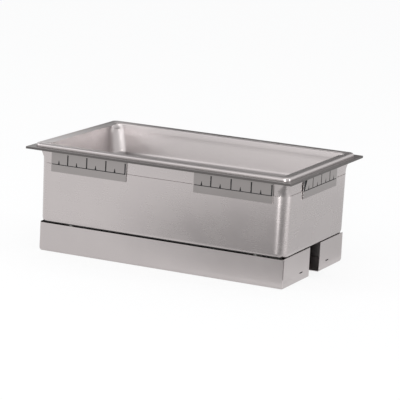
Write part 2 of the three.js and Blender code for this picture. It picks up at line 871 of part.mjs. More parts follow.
// High limit switch: a body with a collar and two tabs, a bracket, and a sprung reset button
function makeHighLimit() {
  const collarTop = limitTop - limitCollarDrop;
  const collarFoot = collarTop - limitCollarHeight;
  const well = buttonRadius + seat;
  const wellTop = limitFoot + buttonDepth + buttonTravel + seat;
  let body = solid(turned([[0, wellTop], [well, wellTop], [well, limitFoot], [limitRadius, limitFoot],
    [limitRadius, collarFoot], [limitCollarRadius, collarFoot], [limitCollarRadius, collarTop],
    [limitRadius, collarTop], [limitRadius, limitTop], [0, limitTop]]));
  const tabFoot = limitFoot + limitTabRise;
  for (const side of [-1, 1]) {
    const inside = side * (limitRadius - limitTabGauge);
    const outside = side * (limitRadius + limitTabLength);
    const tab = box(-limitTabWidth / 2, Math.min(inside, outside), tabFoot,
      limitTabWidth / 2, Math.max(inside, outside), tabFoot + limitTabGauge);
    body = body.add(solid(tab));
  }
  piece('high_limit_body', shown(body), phenolic).position.set(limitX, 0, 0);

  const buttonFoot = limitFoot - buttonReach;
  const buttonTop = limitFoot + buttonDepth;
  const button = turned([[0, buttonFoot], [buttonRadius, buttonFoot], [buttonRadius, buttonTop],
    [0, buttonTop]]);
  piece('reset_button', button, resetRed).position.set(limitX, 0, 0);

  const strapTop = collarFoot - seat;
  const strapFoot = strapTop - bracketGauge;
  const half = bracketLength / 2;
  const deep = bracketWidth / 2;
  let bracket = solid(box(-half, -deep, strapFoot, half, deep, strapTop));
  for (const side of [-1, 1]) {
    const inside = side * (half - bracketGauge);
    const legFrom = Math.min(inside, side * half);
    const legTo = Math.max(inside, side * half);
    bracket = bracket.add(solid(box(legFrom, -deep, strapFoot, legTo, deep, limitTop)));
  }
  const bore = rod(limitRadius + seat, 0, 0, strapFoot - overrun, strapTop + overrun, 2 * roundSides);
  bracket = bracket.subtract(solid(bore));
  piece('high_limit_bracket', shown(bracket), zincSteel).position.set(limitX, 0, 0);
}

// Terminal block: a moulded bar with an open shelf for each post
const postPlaces = Array.from({ length: postCount }, (_, i) => (
  blockCentre + (i - (postCount - 1) / 2) * postPitch
));

function makeTerminals() {
  const left = blockX - blockWidth / 2;
  const right = blockX + blockWidth / 2;
  const near = blockCentre - blockLength / 2;
  let block = solid(box(left, near, trayFloor, right, near + blockLength, trayFloor + blockHeight));
  const shelf = trayFloor + postShelfHeight;
  postPlaces.forEach((y, i) => {
    const half = (postPitch - wallBetweenPosts) / 2;
    const room = box(left + wallBetweenPosts, y - half, shelf, right + overrun, y + half,
      trayFloor + blockHeight + overrun);
    block = block.subtract(solid(room));
    const foot = shelf + seat;
    const screw = rod(blockScrewHeadRadius, blockX, y, foot, foot + blockScrewHeadHeight);
    piece(`terminal_screw_${i + 1}`, screw, zincSteel);
  });
  piece('terminal_block', shown(block), phenolic);

  const groundFoot = trayFloor;
  const groundStud = rod(studRadius, groundX, groundY, groundFoot, groundFoot + groundStudHeight);
  piece('ground_stud', groundStud, zincSteel);
  makeNut('ground_nut', groundX, groundY, groundFoot);
}

// Conduit connector, its locknut and the angle bracket that holds them behind the notch
function makeConduit() {
  const plateX = conduitPlateX + conduitPlateGauge;
  const halfPlate = conduitPlateWidth / 2;
  let bracket = solid(box(conduitPlateX, -halfPlate, trayFloor, plateX, halfPlate,
    trayFloor + conduitPlateHeight));
  const foot = box(conduitPlateX - conduitFoot, -halfPlate, trayFloor, plateX, halfPlate,
    trayFloor + conduitPlateGauge);
  bracket = bracket.add(solid(foot));
  const bore = new THREE.CylinderGeometry(conduitThread + seat, conduitThread + seat,
    conduitPlateGauge + 2 * overrun, 2 * roundSides).rotateZ(Math.PI / 2);
  bore.translate((conduitPlateX + plateX) / 2, 0, conduitAxisHeight);
  bracket = bracket.subtract(solid(bore));
  piece('conduit_bracket', shown(bracket), zincSteel).position.y = notchCentre;

  const inner = conduitPlateX - conduitThreadLength;
  const face = plateX + seat;
  const outer = face + conduitBodyLength;
  const connector = turned([[conduitBore, inner], [conduitThread, inner], [conduitThread, face],
    [conduitBody, face], [conduitBody, outer], [conduitBore, outer], [conduitBore, inner]]);
  const fitting = piece('conduit_connector', connector.rotateY(Math.PI / 2), zincSteel);
  fitting.position.set(0, notchCentre, conduitAxisHeight);

  const nutFace = conduitPlateX - seat;
  const nutBore = conduitThread + seat;
  const nut = turned([[nutBore, nutFace - locknutThickness], [locknutRadius, nutFace - locknutThickness],
    [locknutRadius, nutFace], [nutBore, nutFace], [nutBore, nutFace - locknutThickness]]);
  const locknut = piece('conduit_locknut', nut.rotateY(Math.PI / 2), zincSteel);
  locknut.position.set(0, notchCentre, conduitAxisHeight);
}

// Wires between the terminal block, the high limit switch, the element, the sensor and the ground stud
function makeWires() {
  const exit = blockX + blockWidth / 2 + seat;
  const low = trayFloor + wireExitHeight;
  const tabHeight = limitFoot + limitTabRise + limitTabGauge / 2;
  const tabTip = limitRadius + limitTabLength + seat;
  const pinTip = elementRightEnd + pinLength + 2 * seat;
  const beyondPin = pinTip + wireLoop;
  const [post1, post2, post3, post4] = postPlaces;
  wire('wire_neutral', [
    [exit, post1, low],
    [exit + wireLoop, post1, low],
    [pinTip - wireStraight, -pinRow - wireDip, low + wireStraight],
    [beyondPin, -pinRow, (low + elementHeight) / 2],
    [beyondPin, -pinRow, elementHeight - wireDip],
    [pinTip + wireStraight, -pinRow, elementHeight],
    [pinTip, -pinRow, elementHeight],
  ], wireWhite);
  wire('wire_line', [
    [exit, post2, low],
    [exit + wireLoop, post2, low],
    [limitX - 2 * wireLoop, post2 + wireSpread, low + wireSpread],
    [limitX - wireDip, -tabTip - wireLoop, tabHeight - wireDip],
    [limitX, -tabTip - wireStraight, tabHeight],
    [limitX, -tabTip, tabHeight],
  ], wireBlack);
  wire('wire_load', [
    [limitX, tabTip, tabHeight],
    [limitX, tabTip + wireStraight, tabHeight],
    [limitX + wireStraight, tabTip + 2 * wireSpread, tabHeight - wireDip],
    [beyondPin, pinRow - wireDip, elementHeight - wireDip],
    [pinTip + wireSpread, pinRow, elementHeight],
    [pinTip, pinRow, elementHeight],
  ], wireBlack);
  const leadStart = sensorStart + sensorLength + seat;
  const leadHeight = wellUnderside - seat - sensorRadius;
  const clampEdge = rightClamp + clampWidth / 2;
  const underBend = elementHeight - elementRadius - seat - wireRadius;
  const bendEdge = elementRightBend + elementRunSpacing / 2;
  wire('sensor_lead', [
    [leadStart, 0, leadHeight],
    [leadStart + wireLoop, 0, leadHeight],
    [clampEdge, 0, leadHeight],
    [bendEdge - wireSpread, -wireRadius, underBend - wireRadius],
    [bendEdge + wireSpread, -wireStraight, underBend - wireRadius],
    [elementRightEnd, -wireSpread - wireLoop, clampFoot],
    [elementRightEnd, post4, boardFoot - wireStraight],
    [exit + wireLoop + wireStraight, post3, low + wireStraight],
    [exit + wireStraight, post3, low],
    [exit, post3, low],
  ], wireGrey);
  const groundTouch = groundX - studRadius - seat;
  const groundHeight = Math.max(low, groundTop + seat + wireRadius);
  wire('wire_ground', [
    [exit, post4, low],
    [exit + wireDip / 2, post4, low],
    [exit + wireDip, post4 + wireDip, low],
    [exit + wireDip, 0, low],
    [exit + wireDip, groundY - wireLoop, groundHeight],
    [groundTouch - wireStraight, groundY - wireRadius, groundHeight],
    [groundTouch, groundY, groundHeight],
  ], wireGreen);
}

makeWell();
makeFoodPan();
makeStrips();
makeTray();
makeCover();
makeGasket();
makeTrayFixings();
makeElement();
makeClamps();
makeReflectorAndBoard();
makeSensor();
makeHighLimit();
makeTerminals();
makeConduit();
makeWires();

export default model;
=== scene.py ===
"""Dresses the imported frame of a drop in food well.

Lengths are millimetres in the classes and metres in Blender. The frame's origin is the middle of the
base tray's underside, +X runs to the end with the conduit notch, -Y is the front and +Z is up.
"""

from __future__ import annotations

import json
import logging
import math
from abc import ABC, abstractmethod
from contextlib import contextmanager
from dataclasses import dataclass, field
from enum import Enum
from typing import Callable, Iterator, Sequence

import bmesh
import bpy
from mathutils import Matrix, Vector

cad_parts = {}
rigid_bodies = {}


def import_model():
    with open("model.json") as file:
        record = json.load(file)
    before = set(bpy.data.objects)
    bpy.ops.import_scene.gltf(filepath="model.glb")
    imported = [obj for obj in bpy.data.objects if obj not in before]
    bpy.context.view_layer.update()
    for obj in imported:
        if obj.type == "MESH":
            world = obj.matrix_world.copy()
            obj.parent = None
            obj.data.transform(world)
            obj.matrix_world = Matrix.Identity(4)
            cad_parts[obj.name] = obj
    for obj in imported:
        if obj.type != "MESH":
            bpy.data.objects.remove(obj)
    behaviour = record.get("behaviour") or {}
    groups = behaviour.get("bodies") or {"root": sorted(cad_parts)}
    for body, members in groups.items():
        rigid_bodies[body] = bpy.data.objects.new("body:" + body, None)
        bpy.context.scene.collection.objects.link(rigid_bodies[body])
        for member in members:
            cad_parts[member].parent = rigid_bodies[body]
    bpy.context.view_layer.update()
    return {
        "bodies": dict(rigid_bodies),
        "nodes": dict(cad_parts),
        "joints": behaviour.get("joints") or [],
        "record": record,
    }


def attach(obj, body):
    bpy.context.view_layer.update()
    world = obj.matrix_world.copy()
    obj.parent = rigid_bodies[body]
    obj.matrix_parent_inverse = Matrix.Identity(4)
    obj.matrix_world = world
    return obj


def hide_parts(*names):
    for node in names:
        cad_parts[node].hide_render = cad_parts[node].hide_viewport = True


LOG = logging.getLogger("food_well")
MM = 0.001
CORNERS = ((-1, -1), (-1, 1), (1, -1), (1, 1))
MID_GREY = (0.5, 0.5, 0.5, 1.0)

Pair = tuple[float, float]
Colour = tuple[float, float, float]
Place = tuple[float, float, float]
Inputs = dict[str | int, object]
Object = bpy.types.Object
Material = bpy.types.Material
Tree = bpy.types.NodeTree
Node = bpy.types.Node
Socket = bpy.types.NodeSocket
Face = bmesh.types.BMFace


class Side(Enum):
    """A side of the well, by the turn about Z that carries the front there."""

    FRONT = 0.0
    RIGHT = 90.0
    REAR = 180.0
    LEFT = -90.0


@dataclass(frozen=True)
class SharedSizes:
    """Heights and half sizes that several pieces share."""

    half_wall: Pair = (259.0, 151.0)
    half_tray: Pair = (257.0, 142.5)
    tray_height: float = 55.5
    well_underside: float = 58.0
    crease_height: float = 174.5
    flange_height: float = 206.0
    well_gauge: float = 1.0
    seat: float = 0.3


SIZES = SharedSizes()


def around(middle: float, half: float) -> Pair:
    """Gives the two ends of a span about its middle."""
    return middle - half, middle + half


# Nodes


def feed(tree: Tree, node: Node, inputs: Inputs) -> None:
    """Sets or links the inputs of a node.

    Args:
        tree: the tree that the node is in.
        node: the node.
        inputs: for each input, its own value or the socket that feeds it.
    """
    for key, value in inputs.items():
        if isinstance(value, Socket):
            tree.links.new(value, node.inputs[key])
        else:
            node.inputs[key].default_value = value


def wire(tree: Tree, kind: str, inputs: Inputs, **settings: object) -> Node:
    """Adds a node to a tree.

    Args:
        tree: the tree that the node goes into.
        kind: the node's type.
        inputs: for each input, its own value or the socket that feeds it.
        settings: the node's properties.

    Returns:
        The node.
    """
    node = tree.nodes.new(kind)
    for name, value in settings.items():
        setattr(node, name, value)
    feed(tree, node, inputs)
    return node


def calc(tree: Tree, operation: str, *values: Socket | float) -> Socket:
    """Adds a math node over up to three values and gives its result."""
    return wire(tree, "ShaderNodeMath", dict(enumerate(values)), operation=operation).outputs[0]


# Shader groups


class ShaderGroups:
    """Effects that several finishes share, each built once as a node group."""

    # Cells of the brushing's noise in each metre
    along = 9.0
    across = 1500.0
    # How far up a normal points where walls end and where level faces begin
    wall_end = 0.55
    level_start = 0.85

    def __init__(self) -> None:
        """Builds every group."""
        self.brushed = self._brushed()
        self.marks = self._patches(
            "Handling marks",
            {"Tone spread": 0.06, "Roughness": 0.35, "Roughness spread": 0.12, "Scale": 14.0},
            ("Colour", "Roughness"),
            detail=4.0,
        )
        self.sheet = self._patches("Sheet waves", {"Scale": 6.0}, ("Height",), detail=1.0)
        self.pebble = self._patches(
            "Fine skin",
            {"Tone spread": 0.2, "Roughness": 0.6, "Roughness spread": 0.2, "Scale": 900.0},
            ("Colour", "Roughness", "Height"),
            detail=5.0,
        )

    @staticmethod
    def _new(
        name: str, vectors: Sequence[str], values: dict[str, float], outputs: Sequence[str]
    ) -> tuple[Tree, Node, Node]:
        """Starts a group with named sockets.

        Args:
            name: the group's name.
            vectors: the names of its vector inputs.
            values: the names and defaults of its number inputs.
            outputs: the names of its outputs. With Colour among them, it also takes a colour.

        Returns:
            The group tree with its input and output nodes.
        """
        tree = bpy.data.node_groups.new(name, "ShaderNodeTree")
        add = tree.interface.new_socket
        for label in vectors:
            add(name=label, in_out="INPUT", socket_type="NodeSocketVector")
        if "Colour" in outputs:
            colour = add(name="Colour", in_out="INPUT", socket_type="NodeSocketColor")
            colour.default_value = MID_GREY
        for label, default in values.items():
            add(name=label, in_out="INPUT", socket_type="NodeSocketFloat").default_value = default
        for label in outputs:
            kind = "Color" if label == "Colour" else "Float"
            add(name=label, in_out="OUTPUT", socket_type=f"NodeSocket{kind}")
        return tree, tree.nodes.new("NodeGroupInput"), tree.nodes.new("NodeGroupOutput")

    @staticmethod
    def _noise(tree: Tree, vector: Socket, scale: Socket | float, detail: float) -> Socket:
        """Adds a noise texture and gives its factor."""
        inputs = {"Vector": vector, "Scale": scale, "Detail": detail}
        return wire(tree, "ShaderNodeTexNoise", inputs).outputs["Fac"]

    def _stretched(self, tree: Tree, vector: Socket, stretch: Place) -> Socket:
        """Adds a noise with stretched cells and gives its factor."""
        scaled = wire(tree, "ShaderNodeVectorMath", {0: vector, 1: stretch}, operation="MULTIPLY")
        return self._noise(tree, scaled.outputs[0], scale=1.0, detail=3.0)

    @staticmethod
    def _vary(tree: Tree, source: Node, sink: Node, factor: Socket) -> None:
        """Lets a factor lighten or darken a group's colour and spread its roughness.

        Args:
            tree: the group.
            source: its input node.
            sink: its output node.
            factor: a value that varies about one half.
        """
        inputs = source.outputs
        amount = calc(tree, "SUBTRACT", factor, 0.5)
        tone = calc(tree, "MULTIPLY_ADD", amount, inputs["Tone spread"], 1.0)
        tinted = wire(tree, "ShaderNodeVectorMath", {0: inputs["Colour"], "Scale": tone}, operation="SCALE")
        rough = calc(tree, "MULTIPLY_ADD", amount, inputs["Roughness spread"], inputs["Roughness"])
        feed(tree, sink, {"Colour": tinted.outputs[0], "Roughness": rough})

    def _patches(self, name: str, values: dict[str, float], outputs: Sequence[str], detail: float) -> Tree:
        """Builds a group round one noise.

        Args:
            name: the group's name.
            values: the names and defaults of its number inputs.
            outputs: the names of its outputs.
            detail: the noise's detail.

        Returns:
            The group.
        """
        tree, source, sink = self._new(name, ("Vector",), values, outputs)
        noise = self._noise(tree, source.outputs["Vector"], source.outputs["Scale"], detail)
        if "Colour" in outputs:
            self._vary(tree, source, sink, noise)
        if "Height" in outputs:
            feed(tree, sink, {"Height": noise})
        return tree

    def _brushed(self) -> Tree:
        """Builds brushing lines, level on the walls and lengthways on level faces.

        Returns:
            The group.
        """
        tree, source, sink = self._new(
            "Brushed lines",
            ("Vector", "Normal"),
            {"Tone spread": 0.1, "Roughness": 0.35, "Roughness spread": 0.1},
            ("Colour", "Roughness", "Height"),
        )
        vector = source.outputs["Vector"]
        walls = self._stretched(tree, vector, (self.along, self.along, self.across))
        levels = self._stretched(tree, vector, (self.along, self.across, self.along))
        split = wire(tree, "ShaderNodeSeparateXYZ", {0: source.outputs["Normal"]})
        upright = calc(tree, "ABSOLUTE", split.outputs["Z"])
        range_inputs = {"Value": upright, "From Min": self.wall_end, "From Max": self.level_start}
        choice = wire(tree, "ShaderNodeMapRange", range_inputs)
        lines = wire(tree, "ShaderNodeMix", {"Factor": choice.outputs["Result"], "A": walls, "B": levels})
        self._vary(tree, source, sink, lines.outputs["Result"])
        feed(tree, sink, {"Height": lines.outputs["Result"]})
        return tree


# Finishes


@dataclass(frozen=True)
class Finish(ABC):
    """A surface finish that can build its material."""

    name: str
    slot: str
    colour: Colour
    roughness: float

    @abstractmethod
    def material(self, groups: ShaderGroups) -> Material:
        """Builds the finish's material from the shared groups."""

    def _start(self, metallic: float) -> tuple[Material, Node]:
        """Starts a material with plain values on its shader.

        Args:
            metallic: 1 for bare metal, 0 for the rest.

        Returns:
            The material and its coordinates.
        """
        material = bpy.data.materials.new(self.name)
        material.use_nodes = True
        tree = material.node_tree
        values = {"Metallic": metallic, "Base Color": (*self.colour, 1.0), "Roughness": self.roughness}
        feed(tree, tree.nodes["Principled BSDF"], values)
        return material, wire(tree, "ShaderNodeTexCoord", {})

    def _coat(self, tree: Tree, marks: Tree, top: Tree, mark_inputs: Inputs, top_inputs: Inputs) -> Node:
        """Puts a group over handling marks, and lets it feed the shader's colour and roughness.

        Args:
            tree: the material's nodes.
            marks: the group of handling marks.
            top: the group that goes over them.
            mark_inputs: inputs of the marks, apart from colour and roughness.
            top_inputs: inputs of the top group, apart from colour and roughness.

        Returns:
            The top group's node.
        """
        own = {"Colour": (*self.colour, 1.0), "Roughness": self.roughness}
        under = wire(tree, "ShaderNodeGroup", own | mark_inputs, node_tree=marks)
        handed = {name: under.outputs[name] for name in own}
        coat = wire(tree, "ShaderNodeGroup", handed | top_inputs, node_tree=top)
        fed = {"Base Color": coat.outputs["Colour"], "Roughness": coat.outputs["Roughness"]}
        feed(tree, tree.nodes["Principled BSDF"], fed)
        return coat

    @staticmethod
    def _bump(tree: Tree, height: Socket, depth: float, before: Socket | None = None) -> Socket:
        """Adds a bump.

        Args:
            tree: the material's nodes.
            height: the height that it follows.
            depth: its depth in millimetres.
            before: the normal of an earlier bump.

        Returns:
            Its normal.
        """
        inputs = {"Height": height, "Distance": depth * MM}
        if before is not None:
            inputs["Normal"] = before
        return wire(tree, "ShaderNodeBump", inputs).outputs["Normal"]


@dataclass(frozen=True)
class SheetSteel(Finish):
    """Brushed or satin stainless sheet."""

    line_tone: float = 0.03
    line_roughness: float = 0.03
    line_depth: float = 0.0003
    mark_tone: float = 0.06
    wave_depth: float = 0.35
    wave_scale: float = 5.0

    def material(self, groups: ShaderGroups) -> Material:
        """Builds brushed lines over handling marks, on a sheet with slow waves.

        Args:
            groups: the shared groups.

        Returns:
            The material.
        """
        material, place = self._start(1.0)
        tree, vector = material.node_tree, place.outputs["Object"]
        lines = self._coat(
            tree,
            groups.marks,
            groups.brushed,
            {"Vector": vector, "Tone spread": self.mark_tone},
            {
                "Vector": vector,
                "Normal": place.outputs["Normal"],
                "Tone spread": self.line_tone,
                "Roughness spread": self.line_roughness,
            },
        )
        wave_inputs = {"Vector": vector, "Scale": self.wave_scale}
        waves = wire(tree, "ShaderNodeGroup", wave_inputs, node_tree=groups.sheet)
        slow = self._bump(tree, waves.outputs["Height"], self.wave_depth)
        fine = self._bump(tree, lines.outputs["Height"], self.line_depth, slow)
        feed(tree, tree.nodes["Principled BSDF"], {"Normal": fine})
        return material


@dataclass(frozen=True)
class SkinFinish(Finish):
    """A plated, moulded, fibrous or insulated surface with a fine skin."""

    metallic: float = 0.0
    skin_scale: float = 900.0
    skin_depth: float = 0.02
    skin_tone: float = 0.2
    skin_roughness: float = 0.2
    mark_tone: float = 0.1
    mark_scale: float = 60.0

    def material(self, groups: ShaderGroups) -> Material:
        """Builds a fine skin over soft patches of wear.

        Args:
            groups: the shared groups.

        Returns:
            The material.
        """
        material, place = self._start(self.metallic)
        tree, vector = material.node_tree, place.outputs["Object"]
        skin = self._coat(
            tree,
            groups.marks,
            groups.pebble,
            {"Vector": vector, "Tone spread": self.mark_tone, "Scale": self.mark_scale},
            {
                "Vector": vector,
                "Tone spread": self.skin_tone,
                "Roughness spread": self.skin_roughness,
                "Scale": self.skin_scale,
            },
        )
        relief = self._bump(tree, skin.outputs["Height"], self.skin_depth)
        feed(tree, tree.nodes["Principled BSDF"], {"Normal": relief})
        return material


FINISHES: tuple[Finish, ...] = (
    SheetSteel("Brushed well steel", "well_steel", (0.51, 0.472, 0.468), 0.27),
    SheetSteel("Satin pan steel", "pan_steel", (0.5, 0.467, 0.465), 0.34),
    SheetSteel("Mill strip steel", "strip_steel", (0.31, 0.289, 0.284), 0.36),
    SheetSteel("Brushed tray steel", "tray_steel", (0.48, 0.445, 0.442), 0.36),
    SkinFinish("Plain probe steel", "plain_steel", (0.4, 0.4, 0.39), 0.35, metallic=1.0),
    SkinFinish("Zinc plating", "zinc_steel", (0.46, 0.47, 0.45), 0.42, metallic=1.0, skin_tone=0.3),
    SkinFinish("Heat darkened sheath", "element_sheath", (0.13, 0.11, 0.1), 0.5, metallic=1.0),
    SkinFinish("Aluminised sheet", "aluminised_steel", (0.6, 0.61, 0.62), 0.35, metallic=1.0, skin_scale=300.0),
    SkinFinish("Board fibre", "board_fibre", (0.66, 0.6, 0.48), 0.95, skin_depth=0.3, skin_scale=500.0),
    SkinFinish("Gasket rubber", "gasket_rubber", (0.025, 0.026, 0.03), 0.8, skin_depth=0.05),
    SkinFinish("Moulded phenolic", "phenolic", (0.022, 0.018, 0.016), 0.45),
    SkinFinish("Reset red", "reset_red", (0.42, 0.03, 0.02), 0.35),
    SkinFinish("Black insulation", "wire_black", (0.02, 0.02, 0.022), 0.5),
    SkinFinish("White insulation", "wire_white", (0.66, 0.64, 0.6), 0.5),
    SkinFinish("Green insulation", "wire_green", (0.03, 0.19, 0.05), 0.5),
    SkinFinish("Grey insulation", "wire_grey", (0.22, 0.23, 0.24), 0.6),
)

# Darker finishes of single faces or of one piece, beside the material of the slot: each is painted shade, and
# the flange's is a painted dark reflection
# The turned down lip, darkened as painted shade
LIP_PAINTED_SHADE = SheetSteel("Lip steel with painted shade", "well_steel", (0.12, 0.112, 0.11), 0.5, wave_depth=0.1)
# The underside of the well's long floor bends, darkened as painted shade where the well overhangs the tray
UNDER_FLOOR_SHADE = SkinFinish("Painted shade under floor bend", "well_steel", (0.015, 0.014, 0.014), 0.8, skin_tone=0.1)
# The flange top, darkened as a painted dark reflection
FLANGE_DARK_REFLECTION = SheetSteel("Flange steel with painted dark reflection", "well_steel", (0.24, 0.224, 0.221), 0.45, wave_depth=0.1)
# The conduit bracket, darkened to stand for the shade inside the notch: painted shade
BRACKET_SHADE = SkinFinish("Bracket zinc with painted shade", "zinc_steel", (0.02, 0.02, 0.021), 0.6, metallic=1.0)
# Dark sheets behind the strips' and tray's slots and the strips' cut slot edges: painted shade
SLOT_SHADE = SkinFinish("Painted shade behind slots", "strip_steel", (0.008, 0.008, 0.009), 0.8, skin_tone=0.1)


class Palette:
    """The materials of this object, by the record's slot, and those of single faces."""

    def __init__(self) -> None:
        """Builds every finish once."""
        groups = ShaderGroups()
        self.materials = {finish.slot: finish.material(groups) for finish in FINISHES}
        # Darker copies that are painted shade, and on the flange a painted dark reflection
        self.lip_shade = LIP_PAINTED_SHADE.material(groups)
        self.flange = FLANGE_DARK_REFLECTION.material(groups)
        self.under_floor_shade = UNDER_FLOOR_SHADE.material(groups)
        self.slot_shade = SLOT_SHADE.material(groups)
        self.bracket_shade = BRACKET_SHADE.material(groups)

    def dress(self, obj: Object, slot: str) -> None:
        """Gives an object one slot's material all over."""
        obj.data.materials.clear()
        obj.data.materials.append(self.materials[slot])

    @staticmethod
    def patch(obj: Object, material: Material, test: Callable[[Face], bool]) -> None:
        """Gives some faces of an object a material of their own.

        Args:
            obj: the object.
            material: the material of those faces.
            test: says whether a face is one of them.
        """
        obj.data.materials.append(material)
        obj.active_material_index = len(obj.data.materials) - 1
        with Bench.editing(obj):
            Bench.select("FACE", test)
            bpy.ops.object.material_slot_assign()


# Bench work


@dataclass(frozen=True)
class Station:
    """One level loop of a drawn sheet: half sizes, corner radius and height."""

    half_length: float
    half_width: float
    radius: float
    height: float

    def grown(self, along: float, across: float, rise: float) -> Station:
        """Gives the loop that lies further out and higher, with its corners rounder to match."""
        sizes = (self.half_length + along, self.half_width + across, self.radius + across)
        return Station(*sizes, self.height + rise)

    def centre(self, side_x: int, side_y: int) -> Pair:
        """Gives the middle of one corner's arc, with the sides as 1 or -1."""
        return side_x * (self.half_length - self.radius), side_y * (self.half_width - self.radius)


class Bench:
    """Steps of modelling by hand, each on the mesh in work."""

    @staticmethod
    def clear() -> None:
        """Deselects every object."""
        if bpy.context.mode != "OBJECT":
            bpy.ops.object.mode_set(mode="OBJECT")
        bpy.ops.object.select_all(action="DESELECT")

    @staticmethod
    def pick(*objects: Object) -> None:
        """Selects only some objects, the first one active.

        Args:
            objects: the objects.
        """
        Bench.clear()
        for obj in objects:
            obj.select_set(True)
        bpy.context.view_layer.objects.active = objects[0]

    @staticmethod
    @contextmanager
    def editing(obj: Object) -> Iterator[None]:
        """Keeps an object in edit mode for the steps inside.

        Args:
            obj: the object.

        Yields:
            Nothing, while it is in edit mode.
        """
        Bench.pick(obj)
        bpy.ops.object.mode_set(mode="EDIT")
        yield
        bpy.ops.object.mode_set(mode="OBJECT")

    @staticmethod
    def settle(obj: Object, name: str) -> Object:
        """Names an object and puts its place into its mesh.

        Args:
            obj: the object.
            name: its name, and its mesh's.

        Returns:
            The object.
        """
        Bench.pick(obj)
        bpy.ops.object.transform_apply(location=True, rotation=True, scale=True)
        obj.name = name
        obj.data.name = name
        return obj

    @staticmethod
    def select(kind: str, test: Callable[..., bool]) -> None:
        """Selects parts of the mesh in edit mode by their place.

        Args:
            kind: VERT, EDGE or FACE.
            test: says whether a part is selected.
        """
        bpy.ops.mesh.select_mode(type=kind)
        bpy.ops.mesh.select_all(action="DESELECT")
        mesh = bmesh.from_edit_mesh(bpy.context.edit_object.data)
        for part in {"VERT": mesh.verts, "EDGE": mesh.edges, "FACE": mesh.faces}[kind]:
            if test(part):
                part.select_set(True)
        mesh.select_flush_mode()
        bmesh.update_edit_mesh(bpy.context.edit_object.data)

    @staticmethod
    def block(*spans: Pair) -> Object:
        """Adds a block.

        Args:
            spans: its two ends along X, Y and Z, in either order.

        Returns:
            The block.
        """
        Bench.clear()
        ends = [sorted(span) for span in spans]
        bpy.ops.mesh.primitive_cube_add(size=1.0, location=[(low + high) / 2 * MM for low, high in ends])
        obj = bpy.context.object
        obj.scale = [(high - low) * MM for low, high in ends]
        return Bench.settle(obj, "block")

    @staticmethod
    def round_bar(radius: float, foot: Place, length: float, sides: int = 32) -> Object:
        """Adds an upright round bar.

        Args:
            radius: its radius.
            foot: the middle of its lower end.
            length: its length.
            sides: how many sides stand for the round.

        Returns:
            The bar.
        """
        Bench.clear()
        x, y, z = foot
        middle = (x * MM, y * MM, (z + length / 2) * MM)
        bpy.ops.mesh.primitive_cylinder_add(
            vertices=sides, radius=radius * MM, depth=length * MM, location=middle
        )
        return Bench.settle(bpy.context.object, "bar")

    @staticmethod
    def joined(objects: Sequence[Object]) -> Object:
        """Joins objects into the first one.

        Args:
            objects: one or more objects.

        Returns:
            The first one, with all of them in it.
        """
        Bench.pick(*objects)
        if len(objects) > 1:
            bpy.ops.object.join()
        return bpy.context.object

    @staticmethod
    def modify(obj: Object, kind: str, **settings: object) -> None:
        """Puts a modifier on an object and applies it.

        Args:
            obj: the object.
            kind: the modifier's type.
            settings: the modifier's properties.
        """
        Bench.pick(obj)
        modifier = obj.modifiers.new(kind.capitalize(), kind)
        for name, value in settings.items():
            setattr(modifier, name, value)
        bpy.ops.object.modifier_apply(modifier=modifier.name)

    @staticmethod
    def combine(obj: Object, others: Sequence[Object], operation: str = "DIFFERENCE") -> None:
        """Cuts an object with others, or adds them to it.

        Args:
            obj: the object that stays.
            others: the objects that are used up.
            operation: DIFFERENCE or UNION.
        """
        tool = Bench.joined(others)
        Bench.modify(obj, "BOOLEAN", operation=operation, solver="EXACT", object=tool)
        bpy.data.objects.remove(tool)

    @staticmethod
    def soften(obj: Object, width: float, segments: int, angle: float) -> None:
        """Rounds the sharp edges of an object.

        Args:
            obj: the object.
            width: the rounding's width.
            segments: its steps.
            angle: the least angle of a sharp edge, in degrees.
        """
        Bench.modify(
            obj,
            "BEVEL",
            width=width * MM,
            segments=segments,
            limit_method="ANGLE",
            angle_limit=math.radians(angle),
            harden_normals=False,
        )

    @staticmethod
    def shade(obj: Object, angle: float = 32.0) -> None:
        """Shades an object smoothly across shallow edges, with its large faces flat.

        Args:
            obj: the object.
            angle: the least angle of an edge that stays sharp, in degrees.
        """
        Bench.pick(obj)
        bpy.ops.object.shade_smooth_by_angle(angle=math.radians(angle))
        Bench.modify(obj, "WEIGHTED_NORMAL", keep_sharp=True, weight=100)

    @staticmethod
    def copied(obj: Object, matrix: Matrix, name: str) -> Object:
        """Copies an object with its own mesh, moved by a matrix that may mirror it.

        Args:
            obj: the object that is copied.
            matrix: where the copy goes, in metres.
            name: the copy's name.

        Returns:
            The copy, at the origin with its place in its mesh.
        """
        Bench.pick(obj)
        bpy.ops.object.duplicate(linked=False)
        twin = bpy.context.object
        twin.matrix_world = matrix @ twin.matrix_world
        Bench.settle(twin, name)
        if matrix.determinant() < 0:
            with Bench.editing(twin):
                bpy.ops.mesh.select_all(action="SELECT")
                bpy.ops.mesh.normals_make_consistent(inside=False)
        return twin


